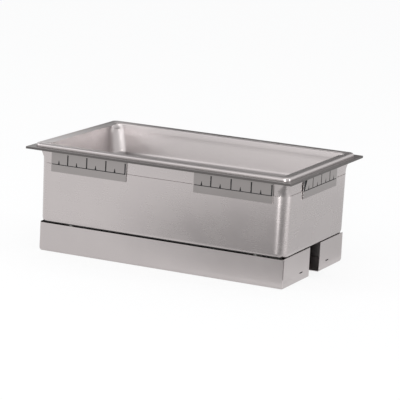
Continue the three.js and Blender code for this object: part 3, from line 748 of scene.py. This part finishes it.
class SheetPress:
    """Draws a sheet through level loops, each bridged to the one before."""

    def __init__(self, corner_segments: int, bend_segments: int) -> None:
        """Keeps how finely corners and bends are rounded."""
        self.corner_segments = corner_segments
        self.bend_segments = bend_segments

    def angles(self) -> list[float]:
        """Lists the angles of a bend's stations, from 0 to a quarter turn."""
        return [step / self.bend_segments * math.pi / 2 for step in range(self.bend_segments + 1)]

    def floor_bend(self, wall: Station, fillet: float, end_share: float = 1.0) -> list[Station]:
        """Lists the stations of the bend between a floor and its wall.

        Args:
            wall: the wall's size and corners, at the floor's height.
            fillet: the bend's radius along the front and rear.
            end_share: how far the bend reaches in at the two ends, as a share of that radius.

        Returns:
            The stations, from the floor up.
        """
        stations = []
        for angle in self.angles():
            inset = fillet * (1 - math.sin(angle))
            stations.append(wall.grown(-inset * end_share, -inset, fillet * (1 - math.cos(angle))))
        return stations

    def flange_bend(self, wall: Station, bend: float) -> list[Station]:
        """Lists the stations of the bend from a wall out to a level flange.

        Args:
            wall: the wall's size and corners, at the flange's height.
            bend: the bend's radius.

        Returns:
            The stations, from the wall out.
        """
        stations = []
        for angle in self.angles():
            reach = bend * (1 - math.cos(angle))
            stations.append(wall.grown(reach, reach, bend * math.sin(angle) - bend))
        return stations

    def draw(self, name: str, stations: Sequence[Station], gauge: float) -> Object:
        """Draws a sheet whose underside runs through the stations.

        Args:
            name: the piece's name.
            stations: loops from the floor out to the free edge.
            gauge: the sheet's thickness.

        Returns:
            The closed sheet.
        """
        Bench.clear()
        bpy.ops.mesh.primitive_plane_add(size=2.0, location=(0.0, 0.0, 0.0))
        obj = bpy.context.object
        first = stations[0]
        with Bench.editing(obj):
            bpy.ops.transform.resize(value=(first.half_length * MM, first.half_width * MM, 1.0))
            bpy.ops.transform.translate(value=(0.0, 0.0, first.height * MM))
            bpy.ops.mesh.bevel(
                offset=first.radius * MM,
                segments=self.corner_segments,
                affect="VERTICES",
                clamp_overlap=False,
            )
            for before, after in zip(stations, stations[1:]):
                self._extend(before, after)
            bpy.ops.mesh.select_all(action="SELECT")
            bpy.ops.mesh.normals_make_consistent(inside=False)
            floor = max(bmesh.from_edit_mesh(obj.data).faces, key=lambda face: face.calc_area())
            if floor.normal.z > 0:
                bpy.ops.mesh.flip_normals()
        Bench.settle(obj, name)
        Bench.modify(obj, "SOLIDIFY", thickness=gauge * MM, offset=-1.0, use_even_offset=True)
        return obj

    @staticmethod
    def _extend(before: Station, after: Station) -> None:
        """Extrudes the free edge from one station to the next, and moves and resizes its corners.

        Args:
            before: the station that the free edge is at.
            after: the station that it goes to.
        """
        rise = (0.0, 0.0, (after.height - before.height) * MM)
        size = after.radius / before.radius
        Bench.select("EDGE", lambda edge: edge.is_boundary)
        bpy.ops.mesh.extrude_edges_move(TRANSFORM_OT_translate={"value": rise})
        for side_x, side_y in CORNERS:
            Bench.select(
                "VERT", lambda vert: vert.is_boundary and vert.co.x * side_x > 0 and vert.co.y * side_y > 0
            )
            old, new = (
                Vector((*station.centre(side_x, side_y), after.height)) * MM for station in (before, after)
            )
            bpy.ops.transform.resize(value=(size, size, 1.0), center_override=old)
            bpy.ops.transform.translate(value=new - old)


# Sub-assemblies


@dataclass
class SubAssembly(ABC):
    """Pieces that are built and dressed together."""

    palette: Palette

    @abstractmethod
    def build(self) -> None:
        """Builds and dresses the pieces."""

    def fit(self, obj: Object, node: str, body: str, slot: str) -> None:
        """Dresses a new piece, lets it stand for its CAD node and reports it.

        Args:
            obj: the new piece.
            node: the CAD node that it stands for.
            body: the body that it moves with.
            slot: the record's slot of its finish.
        """
        self.palette.dress(obj, slot)
        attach(obj, body)
        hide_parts(node)
        LOG.info("%s: %d faces, on %s", obj.name, len(obj.data.polygons), body)


@dataclass
class WellShell(SubAssembly):
    """The drawn well with its neck, flange and turned down lip."""

    draft: float = 1.0
    corner_radius: float = 24.0
    floor_fillet: float = 9.0
    end_share: float = 0.45
    neck_recess: float = 0.8
    crease_radius: float = 21.0
    groove: Pair = (0.5, 0.6)
    groove_foot: float = 0.1
    groove_radius: float = 19.4
    flare_foot: float = 22.0
    flare_foot_radius: float = 19.5
    neck_inset: float = 0.2
    neck_radius: float = 4.0
    neck_bend: float = 2.5
    flange: Pair = (552.0, 351.0)
    lip: float = 4.0
    lip_radius: float = 0.5
    edge_round: float = 0.25
    # Where the painted shade under the floor bends starts, by how far the normals point down, and how far in it
    # reaches
    shade_slope: float = -0.6
    shade_reach: float = 1.5
    # How deep below the flange top its painted dark reflection reaches
    flange_skin: float = 0.3
    # Where the lip's painted shade starts below the flange top, and how far in from the edge it reaches
    lip_top: float = 0.1
    lip_reach: float = 1.5

    def build(self) -> None:
        """Draws the well, rounds its folds and dresses it."""
        press = SheetPress(corner_segments=16, bend_segments=7)
        length, width = SIZES.half_wall
        gauge = SIZES.well_gauge
        under = SIZES.flange_height - gauge
        outer = [side / 2 - gauge for side in self.flange]
        neck = (length - self.neck_recess, width - self.neck_recess)
        depth, height = self.groove
        foot = self.neck_recess + depth
        groove_bottom = SIZES.crease_height + self.groove_foot * height
        stations = [
            *press.floor_bend(
                Station(length - self.draft, width - self.draft, self.corner_radius, SIZES.well_underside),
                self.floor_fillet,
                self.end_share,
            ),
            Station(length, width, self.corner_radius, SIZES.crease_height),
            Station(length - foot, width - foot, self.groove_radius, groove_bottom),
            Station(*neck, self.crease_radius, SIZES.crease_height + height),
            Station(*neck, self.flare_foot_radius, SIZES.flange_height - self.flare_foot),
            *press.flange_bend(
                Station(length - self.neck_inset, width - self.neck_inset, self.neck_radius, under),
                self.neck_bend,
            ),
            Station(*outer, self.lip_radius, under),
            Station(*outer, self.lip_radius, SIZES.flange_height - self.lip),
        ]
        well = press.draw("drawn_well", stations, gauge)
        Bench.soften(well, self.edge_round, segments=3, angle=28.0)
        Bench.shade(well)
        self.fit(well, "well_pan", "well", "well_steel")
        # The underside of the long floor bends gets painted shade
        self.palette.patch(well, self.palette.under_floor_shade, self._in_shade)
        # The flange top gets a painted dark reflection
        self.palette.patch(well, self.palette.flange, self._in_flange)
        # The lip gets painted shade
        self.palette.patch(well, self.palette.lip_shade, self._in_lip)

    def _in_shade(self, face: Face) -> bool:
        """Says whether a face is the underside of the long floor edges, which gets painted shade.

        Args:
            face: a face of the well.

        Returns:
            Whether it gets the painted shade.
        """
        _, y, z = face.calc_center_median() / MM
        edge = SIZES.half_wall[1] - self.floor_fillet - self.shade_reach
        in_bend = abs(y) > edge and z < SIZES.well_underside + self.floor_fillet
        return in_bend and face.normal.z < self.shade_slope

    def _in_flange(self, face: Face) -> bool:
        """Says whether a face belongs to the top of the flange, which gets a painted dark reflection."""
        return face.calc_center_median().z / MM > SIZES.flange_height - self.flange_skin

    def _in_lip(self, face: Face) -> bool:
        """Says whether a face belongs to the turned down lip.

        Args:
            face: a face of the well.

        Returns:
            Whether it gets the lip's painted shade.
        """
        x, y, z = face.calc_center_median() / MM
        length, width = (side / 2 - self.lip_reach for side in self.flange)
        return (abs(x) > length or abs(y) > width) and z < SIZES.flange_height - self.lip_top


@dataclass
class FoodPan(SubAssembly):
    """The shallow food pan with its rolled rim and stacking dents."""

    gauge: float = 0.8
    rim: Pair = (530.0, 325.0)
    depth: float = 65.0
    rim_height: float = 7.0
    roll: float = 3.5
    ridge_rise: float = 1.0
    ridge_width: float = 4.0
    rim_radius: float = 12.0
    half_body: Pair = (256.0, 148.0)
    body_radius: float = 20.0
    taper: float = 9.0
    floor_fillet: float = 14.0
    floor_radius: float = 28.0
    wall_bend: float = 2.5
    stack_drop: float = 12.0
    stack_height: float = 9.0
    stack_dent: float = 5.0

    def build(self) -> None:
        """Draws the pan, rounds its folds and dresses it."""
        press = SheetPress(corner_segments=16, bend_segments=7)
        crest = SIZES.flange_height + self.rim_height - self.gauge
        ledge = crest - self.ridge_rise
        floor = SIZES.flange_height + self.rim_height - self.depth - self.gauge
        length, width = self.half_body

        def wall(height: float, radius: float) -> Station:
            """Gives one loop of the tapered wall."""
            inset = self.taper * (ledge - height) / (ledge - floor)
            return Station(length - inset, width - inset, radius, height)

        def edge(inset: float, height: float) -> Station:
            """Gives one loop of the rim."""
            out = [side / 2 - self.gauge - inset for side in self.rim]
            return Station(*out, self.rim_radius - self.gauge - inset, height)

        top = ledge - self.stack_drop
        foot = top - self.stack_height
        dented = self.body_radius + self.stack_dent
        roll = [
            edge(self.roll * (1 - math.sin(angle)), crest - self.roll + self.roll * math.cos(angle))
            for angle in press.angles()
        ]
        stations = [
            *press.floor_bend(
                Station(length - self.taper, width - self.taper, self.floor_radius, floor), self.floor_fillet
            ),
            wall(foot, dented),
            wall(top, dented),
            wall(top + self.stack_dent / 2, self.body_radius),
            *press.flange_bend(Station(length, width, self.body_radius, ledge), self.wall_bend),
            edge(self.roll + self.ridge_width, ledge),
            *roll,
            edge(0.0, SIZES.flange_height + SIZES.seat),
        ]
        pan = press.draw("shallow_food_pan", stations, self.gauge)
        Bench.shade(pan)
        self.fit(pan, "food_pan", "pan", "pan_steel")


@dataclass
class BaseTray(SubAssembly):
    """The folded tray with its notch, open corner seams, end slots, hatch and ears."""

    gauge: float = 1.2
    bend: float = 3.0
    corner_radius: float = 1.3
    end_rise: float = 1.8
    rise_inset: float = 0.1
    edge_round: float = 0.2
    seam: float = 1.4
    seam_foot: float = 19.0
    notch: Pair = (50.0, 30.0)
    notch_centre: float = 5.0
    slot: Pair = (14.0, 2.5)
    slot_place: Pair = (63.0, 16.0)
    # Span, margin and reach of the dark sheets of painted shade behind the end slots
    shade_sheet: Pair = (0.05, 0.15)
    shade_sheet_margin: float = 1.0
    shade_sheet_reach: float = 1.0
    ear: Pair = (24.0, 22.0)
    ear_spread: float = 195.0
    ear_hole: float = 2.9
    hatch_centre: float = 20.0
    hatch_half: float = 63.0
    screw_half: float = 69.0
    screw_hole: float = 4.0
    over: float = 2.0

    def build(self) -> None:
        """Folds the tray, cuts it and dresses it."""
        press = SheetPress(corner_segments=4, bend_segments=5)
        length, width = SIZES.half_tray
        stations = [
            *press.floor_bend(Station(length, width, self.corner_radius + self.bend, 0.0), self.bend),
            Station(length, width, self.corner_radius, self.bend + self.gauge),
            Station(length, width, self.corner_radius, SIZES.tray_height),
        ]
        tray = press.draw("folded_tray", stations, self.gauge)
        Bench.combine(tray, self._ears(), "UNION")
        Bench.combine(tray, self._rises(), "UNION")
        Bench.combine(tray, self._cuts())
        Bench.soften(tray, self.edge_round, segments=2, angle=60.0)
        # Dark sheets behind the end slots stand for the shade in them: painted shade
        tray = Bench.joined([tray, *self._shade_sheets()])
        Bench.shade(tray)
        self.fit(tray, "base_tray", "well", "tray_steel")
        # The sheets behind the end slots get painted shade
        self.palette.patch(tray, self.palette.slot_shade, self._in_shade_sheet)

    def _shade_sheets(self) -> list[Object]:
        """Makes the dark sheets behind the end slots, which are painted shade.

        Returns:
            The sheets.
        """
        inner = SIZES.half_tray[0] - self.gauge
        spread, height = self.slot_place
        half_length, half_height = (side / 2 + self.shade_sheet_margin for side in self.slot)
        return [
            Bench.block(
                (side_x * (inner + self.shade_sheet[0]), side_x * (inner - self.shade_sheet[1])),
                around(self.notch_centre + side_y * spread, half_length),
                around(height, half_height),
            )
            for side_x, side_y in CORNERS
        ]

    def _in_shade_sheet(self, face: Face) -> bool:
        """Says whether a face belongs to a dark sheet of painted shade behind an end slot.

        Args:
            face: a face of the tray.

        Returns:
            Whether it gets the painted shade.
        """
        x, y, z = face.calc_center_median() / MM
        spread, height = self.slot_place
        along = abs(abs(y - self.notch_centre) - spread)
        depth = SIZES.half_tray[0] - self.gauge + 2 * self.shade_sheet[0] - abs(x)
        near = along < self.slot[0] / 2 + 2 * self.shade_sheet_margin and abs(z - height) < 2 * self.slot[1]
        return near and 0.0 < depth < self.shade_sheet_reach

    def _rises(self) -> list[Object]:
        """Makes the low rises that bring the end walls close to the well.

        Returns:
            The rises, a little thinner than the wall that they stand on.
        """
        outer = SIZES.half_tray[0] - self.rise_inset
        inner = SIZES.half_tray[0] - self.gauge + self.rise_inset
        height = (SIZES.tray_height - self.gauge, SIZES.tray_height + self.end_rise)
        along = around(0.0, SIZES.half_tray[1] - self.seam)
        return [Bench.block((side * inner, side * outer), along, height) for side in (-1, 1)]

    def _ears(self) -> list[Object]:
        """Makes the four ears.

        Returns:
            The ears, each a little into the wall.
        """
        length, reach = self.ear
        wall = SIZES.half_tray[1] - self.gauge / 2
        tip = SIZES.half_tray[1] - self.gauge - reach
        height = (SIZES.tray_height - self.gauge, SIZES.tray_height)
        return [
            Bench.block(around(side_x * self.ear_spread, length / 2), (side_y * tip, side_y * wall), height)
            for side_x, side_y in CORNERS
        ]

    def _cuts(self) -> list[Object]:
        """Makes the cutters of the notch, seams, slots, hatch and holes.

        Returns:
            The cutters.
        """
        length, width = SIZES.half_tray
        notch_width, notch_depth = self.notch
        slot_length, slot_height = self.slot
        slot_spread, slot_z = self.slot_place
        over = self.over
        above = SIZES.tray_height + self.end_rise + over
        notch_along = (length - notch_depth, length + over)
        cuts = [
            Bench.block(notch_along, around(self.notch_centre, notch_width / 2), (-over, above)),
            Bench.block(
                around(self.hatch_centre, self.hatch_half), around(0.0, self.hatch_half), around(0.0, over)
            ),
        ]
        for side_x, side_y in CORNERS:
            x, y = side_x * length, side_y * width
            slot_along = around(self.notch_centre + side_y * slot_spread, slot_length / 2)
            ear_y = side_y * (width - self.gauge - self.ear[1] / 2)
            ear_foot = (side_x * self.ear_spread, ear_y, SIZES.tray_height + self.end_rise - 2 * over)
            screw_foot = (self.hatch_centre + side_x * self.screw_half, side_y * self.screw_half, -over)
            cuts += [
                Bench.block(around(x, self.seam), around(y, self.seam), (self.seam_foot, above)),
                Bench.block(around(x, over), slot_along, around(slot_z, slot_height / 2)),
                Bench.round_bar(self.ear_hole, ear_foot, 4 * over),
                Bench.round_bar(self.screw_hole, screw_foot, 2.5 * over),
            ]
        return cuts


@dataclass
class LockStrips(SubAssembly):
    """Six strips whose tabs are cut free by upright slots over a slit."""

    gauge: float = 1.2
    pitch: float = 41.0
    tabs: int = 4
    end_tab: float = 35.3
    ear: float = 2.9
    slot_width: float = 2.5
    slit: float = 1.4
    slot_top: float = 20.5
    band: float = 14.0
    top: float = 28.0
    notch: Pair = (4.0, 7.5)
    notch_point: float = 0.12
    wedge: Pair = (5.0, 15.0)
    to_wall_end: float = 27.5
    end_centre: float = 2.0
    # Span, margin and slack of the dark sheet of painted shade behind the slots, and how far a cut edge may
    # lean to get painted shade
    shade_sheet: Pair = (-0.05, 0.15)
    shade_sheet_margin: float = 1.0
    shade_sheet_slack: float = 0.01
    upright: float = 0.5
    edge_round: float = 0.18
    over: float = 1.0

    def build(self) -> None:
        """Cuts two patterns and sets a copy on each place."""
        even = self._pattern("strip_pattern", (self.slot_width, self.slot_width))
        wedged = self._pattern("wedge_pattern", self.wedge)
        length, width = SIZES.half_wall
        centre = length - self.to_wall_end - self.length() / 2
        self._set(even, "front_lock_strip_left", Side.FRONT, width, -centre, False)
        self._set(even, "front_lock_strip_right", Side.FRONT, width, centre, False)
        self._set(even, "rear_lock_strip_left", Side.REAR, width, centre, True)
        self._set(even, "rear_lock_strip_right", Side.REAR, width, -centre, True)
        self._set(wedged, "end_lock_strip_right", Side.RIGHT, length, self.end_centre, True)
        self._set(even, "end_lock_strip_left", Side.LEFT, length, self.end_centre, True)
        for pattern in (even, wedged):
            bpy.data.objects.remove(pattern)

    def length(self) -> float:
        """Gives a strip's whole length."""
        return self.end_tab + (self.tabs - 1) * self.pitch + self.ear

    def _pattern(self, name: str, last_slot: Pair) -> Object:
        """Cuts one strip, its outer face towards -Y and its crease line at the origin.

        Args:
            name: the pattern's name.
            last_slot: the widths of the last slot at its foot and at its top.

        Returns:
            The strip.
        """
        half_slot = self.slot_width / 2
        left = -self.length() / 2
        last = left + self.end_tab + (self.tabs - 1) * self.pitch
        below = -self.slit / 2
        strip = Bench.block((left, -left), (-self.gauge, 0.0), (below - self.band, self.top))
        slit = Bench.block((left - self.over, last + half_slot), self._through(), (below, -below))
        Bench.combine(strip, [slit])
        slots = []
        notches = []
        for tab in range(self.tabs):
            middle = left + self.end_tab + tab * self.pitch
            widths = last_slot if tab == self.tabs - 1 else (self.slot_width, self.slot_width)
            slots.append(self._slot(middle + half_slot, *widths))
            tab_width = self.end_tab if tab == 0 else self.pitch
            notches.append(self._notch(middle - half_slot - tab_width / 2))
        Bench.combine(strip, slots)
        Bench.combine(strip, notches)
        Bench.soften(strip, self.edge_round, segments=2, angle=50.0)
        # A dark sheet behind the slots stands for the shade in them: painted shade
        margin = self.shade_sheet_margin
        along = (left + margin, last + half_slot + margin)
        shade_sheet = Bench.block(along, self.shade_sheet, (below - margin, self.slot_top + margin))
        strip = Bench.joined([strip, shade_sheet])
        strip.name = name
        return strip

    def _through(self) -> Pair:
        """Gives the span of a cutter that goes through the sheet."""
        return -self.gauge - self.over, self.over

    def _slot(self, right: float, foot_width: float, top_width: float) -> Object:
        """Makes the cutter of one slot, whose left side may lean.

        Args:
            right: the slot's upright right side.
            foot_width: its width at its foot.
            top_width: its width at its top.

        Returns:
            The cutter.
        """
        slot = Bench.block((right - foot_width, right), self._through(), (0.0, self.slot_top))
        if top_width > foot_width:
            corner = (right - foot_width / 2) * MM
            with Bench.editing(slot):
                Bench.select("VERT", lambda vert: vert.co.z > self.slot_top * MM / 2 and vert.co.x < corner)
                bpy.ops.transform.translate(value=((foot_width - top_width) * MM, 0.0, 0.0))
        return slot

    def _notch(self, middle: float) -> Object:
        """Makes the cutter of the small pointed notch that a screwdriver enters.

        Args:
            middle: where the notch's point is.

        Returns:
            The cutter.
        """
        width, height = self.notch
        notch = Bench.block(around(middle, width / 2), self._through(), (0.0, self.slit / 2 + height))
        with Bench.editing(notch):
            Bench.select("VERT", lambda vert: vert.co.z > height * MM / 2)
            bpy.ops.transform.resize(
                value=(self.notch_point, 1.0, 1.0), center_override=(middle * MM, 0.0, 0.0)
            )
        return notch

    def _in_slot(self, home: Matrix, face: Face) -> bool:
        """Says whether a face is the dark sheet behind the slots or a cut edge inside them, both painted shade.

        Args:
            home: the way back from a copy's place to the pattern's.
            face: a face of the copy.

        Returns:
            Whether it gets the painted shade.
        """
        x, y, z = home @ face.calc_center_median() / MM
        normal = home.to_3x3() @ face.normal
        within = abs(x) < self.length() / 2 - self.shade_sheet_margin and -self.slit < z < self.slot_top + self.slit
        return y > self.shade_sheet[0] - self.shade_sheet_slack or (within and abs(normal.y) < self.upright)

    def _set(
        self, pattern: Object, node: str, side: Side, wall: float, centre: float, mirrored: bool
    ) -> None:
        """Sets a copy of a pattern on one side of the well.

        Args:
            pattern: the strip that is copied.
            node: the CAD node that the copy stands for.
            side: the side of the well.
            wall: how far that side's wall is from the middle.
            centre: where the strip's middle is along the wall.
            mirrored: whether the strip runs the other way.
        """
        turn = Matrix.Rotation(math.radians(side.value), 4, "Z")
        shift = Matrix.Translation(Vector((centre, -wall - SIZES.seat, SIZES.crease_height)) * MM)
        flip = Matrix.Diagonal((-1.0 if mirrored else 1.0, 1.0, 1.0, 1.0))
        place = turn @ shift @ flip
        home = place.inverted()
        strip = Bench.copied(pattern, place, f"{node}_sheet")
        Bench.shade(strip)
        self.fit(strip, node, "well", "strip_steel")
        # The sheet behind the slots and the cut slot edges get painted shade
        self.palette.patch(strip, self.palette.slot_shade, lambda face: self._in_slot(home, face))


@dataclass
class CarriedNodes(SubAssembly):
    """CAD nodes whose own shape is right, given their finish."""

    frame: dict = field(default_factory=dict)

    def build(self) -> None:
        """Gives each carried node the material of its slot, and darkens the conduit bracket as painted shade.
        """
        for part in self.frame["record"]["subparts"]:
            node = self.frame["nodes"][part["node"]]
            if not node.data.materials:
                node.data.materials.append(None)
            for index in range(len(node.material_slots)):
                node.material_slots[index].material = self.palette.materials[part["material_slot"]]
        # The conduit bracket gets painted shade, for the shade inside the notch
        self.frame["nodes"]["conduit_bracket"].material_slots[0].material = self.palette.bracket_shade


# Studio


@dataclass(frozen=True)
class Lamp:
    """A soft lamp: where it hangs, its sides in metres, its power and what it is aimed at."""

    name: str
    place: Place
    sides: Pair
    power: float
    aim: Place = (0.0, 0.0, 0.12)


@dataclass(frozen=True)
class Card:
    """A dark card that only metal sees: where it stands, its half sides, its depth and its aim."""

    name: str
    place: Place
    half_sides: Pair
    depth: float
    aim: Place = (0.0, 0.0, 0.2)


LAMPS = (
    Lamp("key lamp", (-1.7, -1.3, 1.1), (0.9, 0.9), 8.0),
    Lamp("front left lamp", (-0.3, -2.6, 1.1), (1.0, 0.5), 5.0),
    Lamp("front lamp", (1.29, -2.97, 0.45), (0.3, 0.9), 50.0),
    Lamp("right lamp", (3.08, 0.88, 0.45), (0.3, 0.9), 26.0),
    Lamp("top lamp", (0.0, 0.3, 3.0), (2.6, 2.6), 12.0),
)
CARDS = (
    Card("rear card", (-0.12, 0.62, 0.42), (0.5, 0.34), 0.9),
    Card("floor card", (0.3, -0.52, 0.01), (0.62, 0.45), 0.62, (0.3, -0.52, 5.0)),
    Card("corner card", (0.85, -0.5, 0.01), (0.7, 0.42), 0.55, (0.85, -0.5, 5.0)),
    Card("side card", (0.5, 0.42, 0.01), (0.42, 0.62), 0.25, (0.5, 0.42, 5.0)),
    Card("overhead card", (-0.22, -0.02, 0.62), (0.48, 0.42), 0.62, (-0.22, -0.02, 0.0)),
    Card("left card", (-0.74, 0.9, 0.16), (0.4, 0.2), 0.9, (-0.3, 0.0, 0.2)),
)


@dataclass
class Studio:
    """Camera, floor, lamps and world."""

    lens: float = 198.68
    sensor: float = 36.0
    sight: float = 100.0
    place: Place = (1.788, -3.769, 0.991)
    right: Place = (0.89900, 0.43502, 0.05053)
    up: Place = (-0.13458, 0.16463, 0.97713)
    back: Place = (0.41675, -0.88524, 0.20655)
    floor_size: float = 60.0
    floor_drop: float = 0.4
    floor_tone: float = 0.9
    floor_white: float = 0.84
    card_tone: float = 0.02
    card_edge: float = 0.45
    room_tint: Colour = (0.97, 0.98, 1.0)
    room_light: float = 0.85

    def build(self) -> None:
        """Sets up everything round the object."""
        self._camera()
        self._floor()
        for card in CARDS:
            self._card(card)
        for lamp in LAMPS:
            self._lamp(lamp)
        self._world()
        bpy.context.scene.view_settings.view_transform = "Standard"

    def _camera(self) -> None:
        """Places the camera as the photograph was taken."""
        data = bpy.data.cameras.new("camera")
        data.lens = self.lens
        data.sensor_width = self.sensor
        data.clip_end = self.sight
        camera = bpy.data.objects.new("camera", data)
        turn = Matrix((self.right, self.up, self.back)).transposed().to_4x4()
        camera.matrix_world = Matrix.Translation(self.place) @ turn
        bpy.context.scene.collection.objects.link(camera)
        bpy.context.scene.camera = camera

    @staticmethod
    def _matt(obj: Object, name: str, tone: float, roughness: float) -> Tree:
        """Gives a stage piece a matt grey material.

        Args:
            obj: the piece.
            name: the material's name.
            tone: its grey.
            roughness: its roughness.

        Returns:
            The material's nodes.
        """
        material = bpy.data.materials.new(name)
        material.use_nodes = True
        obj.data.materials.append(material)
        tree = material.node_tree
        grey = (tone, tone, tone, 1.0)
        feed(tree, tree.nodes["Principled BSDF"], {"Base Color": grey, "Roughness": roughness})
        return tree

    @staticmethod
    def _blend(tree: Tree, output: str, share: Socket, first: Node, second: Node) -> None:
        """Lets an output show a mix of two shaders.

        Args:
            tree: the tree that they are in.
            output: the output node's name.
            share: the second shader's share.
            first: the first shader.
            second: the second shader.
        """
        mix = wire(tree, "ShaderNodeMixShader", {0: share, 1: first.outputs[0], 2: second.outputs[0]})
        feed(tree, tree.nodes[output], {"Surface": mix.outputs[0]})

    def _floor(self) -> None:
        """Lays a pale floor that the camera sees as white, with a soft shadow."""
        Bench.clear()
        bpy.ops.mesh.primitive_plane_add(size=self.floor_size, location=(0.0, 0.0, -self.floor_drop * MM))
        floor = bpy.context.object
        floor.name = "floor"
        tree = self._matt(floor, "Pale floor", self.floor_tone, roughness=0.9)
        white = wire(tree, "ShaderNodeEmission", {})
        share = calc(tree, "MULTIPLY", self._seen(tree), self.floor_white)
        self._blend(tree, "Material Output", share, tree.nodes["Principled BSDF"], white)

    @staticmethod
    def _aimed(place: Place, aim: Place) -> Matrix:
        """Gives the matrix of something at a place that looks at its aim."""
        turn = (Vector(aim) - Vector(place)).to_track_quat("-Z", "Y").to_matrix().to_4x4()
        return Matrix.Translation(place) @ turn

    def _card(self, card: Card) -> None:
        """Stands a dark card with soft edges, which neither shades nor shows to the camera.

        Args:
            card: the card.
        """
        Bench.clear()
        bpy.ops.mesh.primitive_plane_add(size=2.0)
        sheet = bpy.context.object
        sheet.name = card.name.replace(" ", "_")
        sheet.matrix_world = self._aimed(card.place, card.aim) @ Matrix.Diagonal((*card.half_sides, 1.0, 1.0))
        for kind in ("camera", "diffuse", "shadow", "transmission"):
            setattr(sheet, f"visible_{kind}", False)
        tree = self._matt(sheet, card.name.capitalize(), self.card_tone, roughness=1.0)
        place = wire(tree, "ShaderNodeTexCoord", {})
        ball = wire(
            tree, "ShaderNodeTexGradient", {"Vector": place.outputs["Object"]}, gradient_type="SPHERICAL"
        )
        edge = wire(
            tree,
            "ShaderNodeMapRange",
            {"Value": ball.outputs["Fac"], "From Max": self.card_edge, "To Max": card.depth},
            interpolation_type="SMOOTHSTEP",
        )
        clear = wire(tree, "ShaderNodeBsdfTransparent", {})
        self._blend(tree, "Material Output", edge.outputs["Result"], clear, tree.nodes["Principled BSDF"])

    def _lamp(self, lamp: Lamp) -> None:
        """Hangs one soft lamp.

        Args:
            lamp: the lamp.
        """
        data = bpy.data.lights.new(lamp.name, "AREA")
        data.shape = "RECTANGLE"
        data.size, data.size_y = lamp.sides
        data.energy = lamp.power
        body = bpy.data.objects.new(lamp.name, data)
        body.matrix_world = self._aimed(lamp.place, lamp.aim)
        body.visible_camera = False
        bpy.context.scene.collection.objects.link(body)

    @staticmethod
    def _seen(tree: Tree) -> Socket:
        """Adds the share of rays that see the background: camera, glossy and transmission rays.

        Args:
            tree: the tree that it goes into.

        Returns:
            The share.
        """
        path = wire(tree, "ShaderNodeLightPath", {})
        seen = path.outputs["Is Camera Ray"]
        for kind in ("Is Glossy Ray", "Is Transmission Ray"):
            seen = calc(tree, "MAXIMUM", seen, path.outputs[kind])
        return seen

    def _world(self) -> None:
        """Lights the room evenly, and shows it as white."""
        world = bpy.data.worlds.new("room")
        world.use_nodes = True
        tree = world.node_tree
        room = tree.nodes["Background"]
        feed(tree, room, {"Color": (*self.room_tint, 1.0), "Strength": self.room_light})
        white = wire(tree, "ShaderNodeBackground", {"Color": (1.0, 1.0, 1.0, 1.0)})
        self._blend(tree, "World Output", self._seen(tree), room, white)
        bpy.context.scene.world = world


def main() -> None:
    """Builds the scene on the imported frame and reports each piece."""
    logging.basicConfig(level=logging.INFO, format="%(name)s: %(message)s")
    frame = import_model()
    Studio().build()
    palette = Palette()
    CarriedNodes(palette, frame).build()
    for assembly in (WellShell, FoodPan, LockStrips, BaseTray):
        assembly(palette).build()


if __name__ == "__main__":
    main()
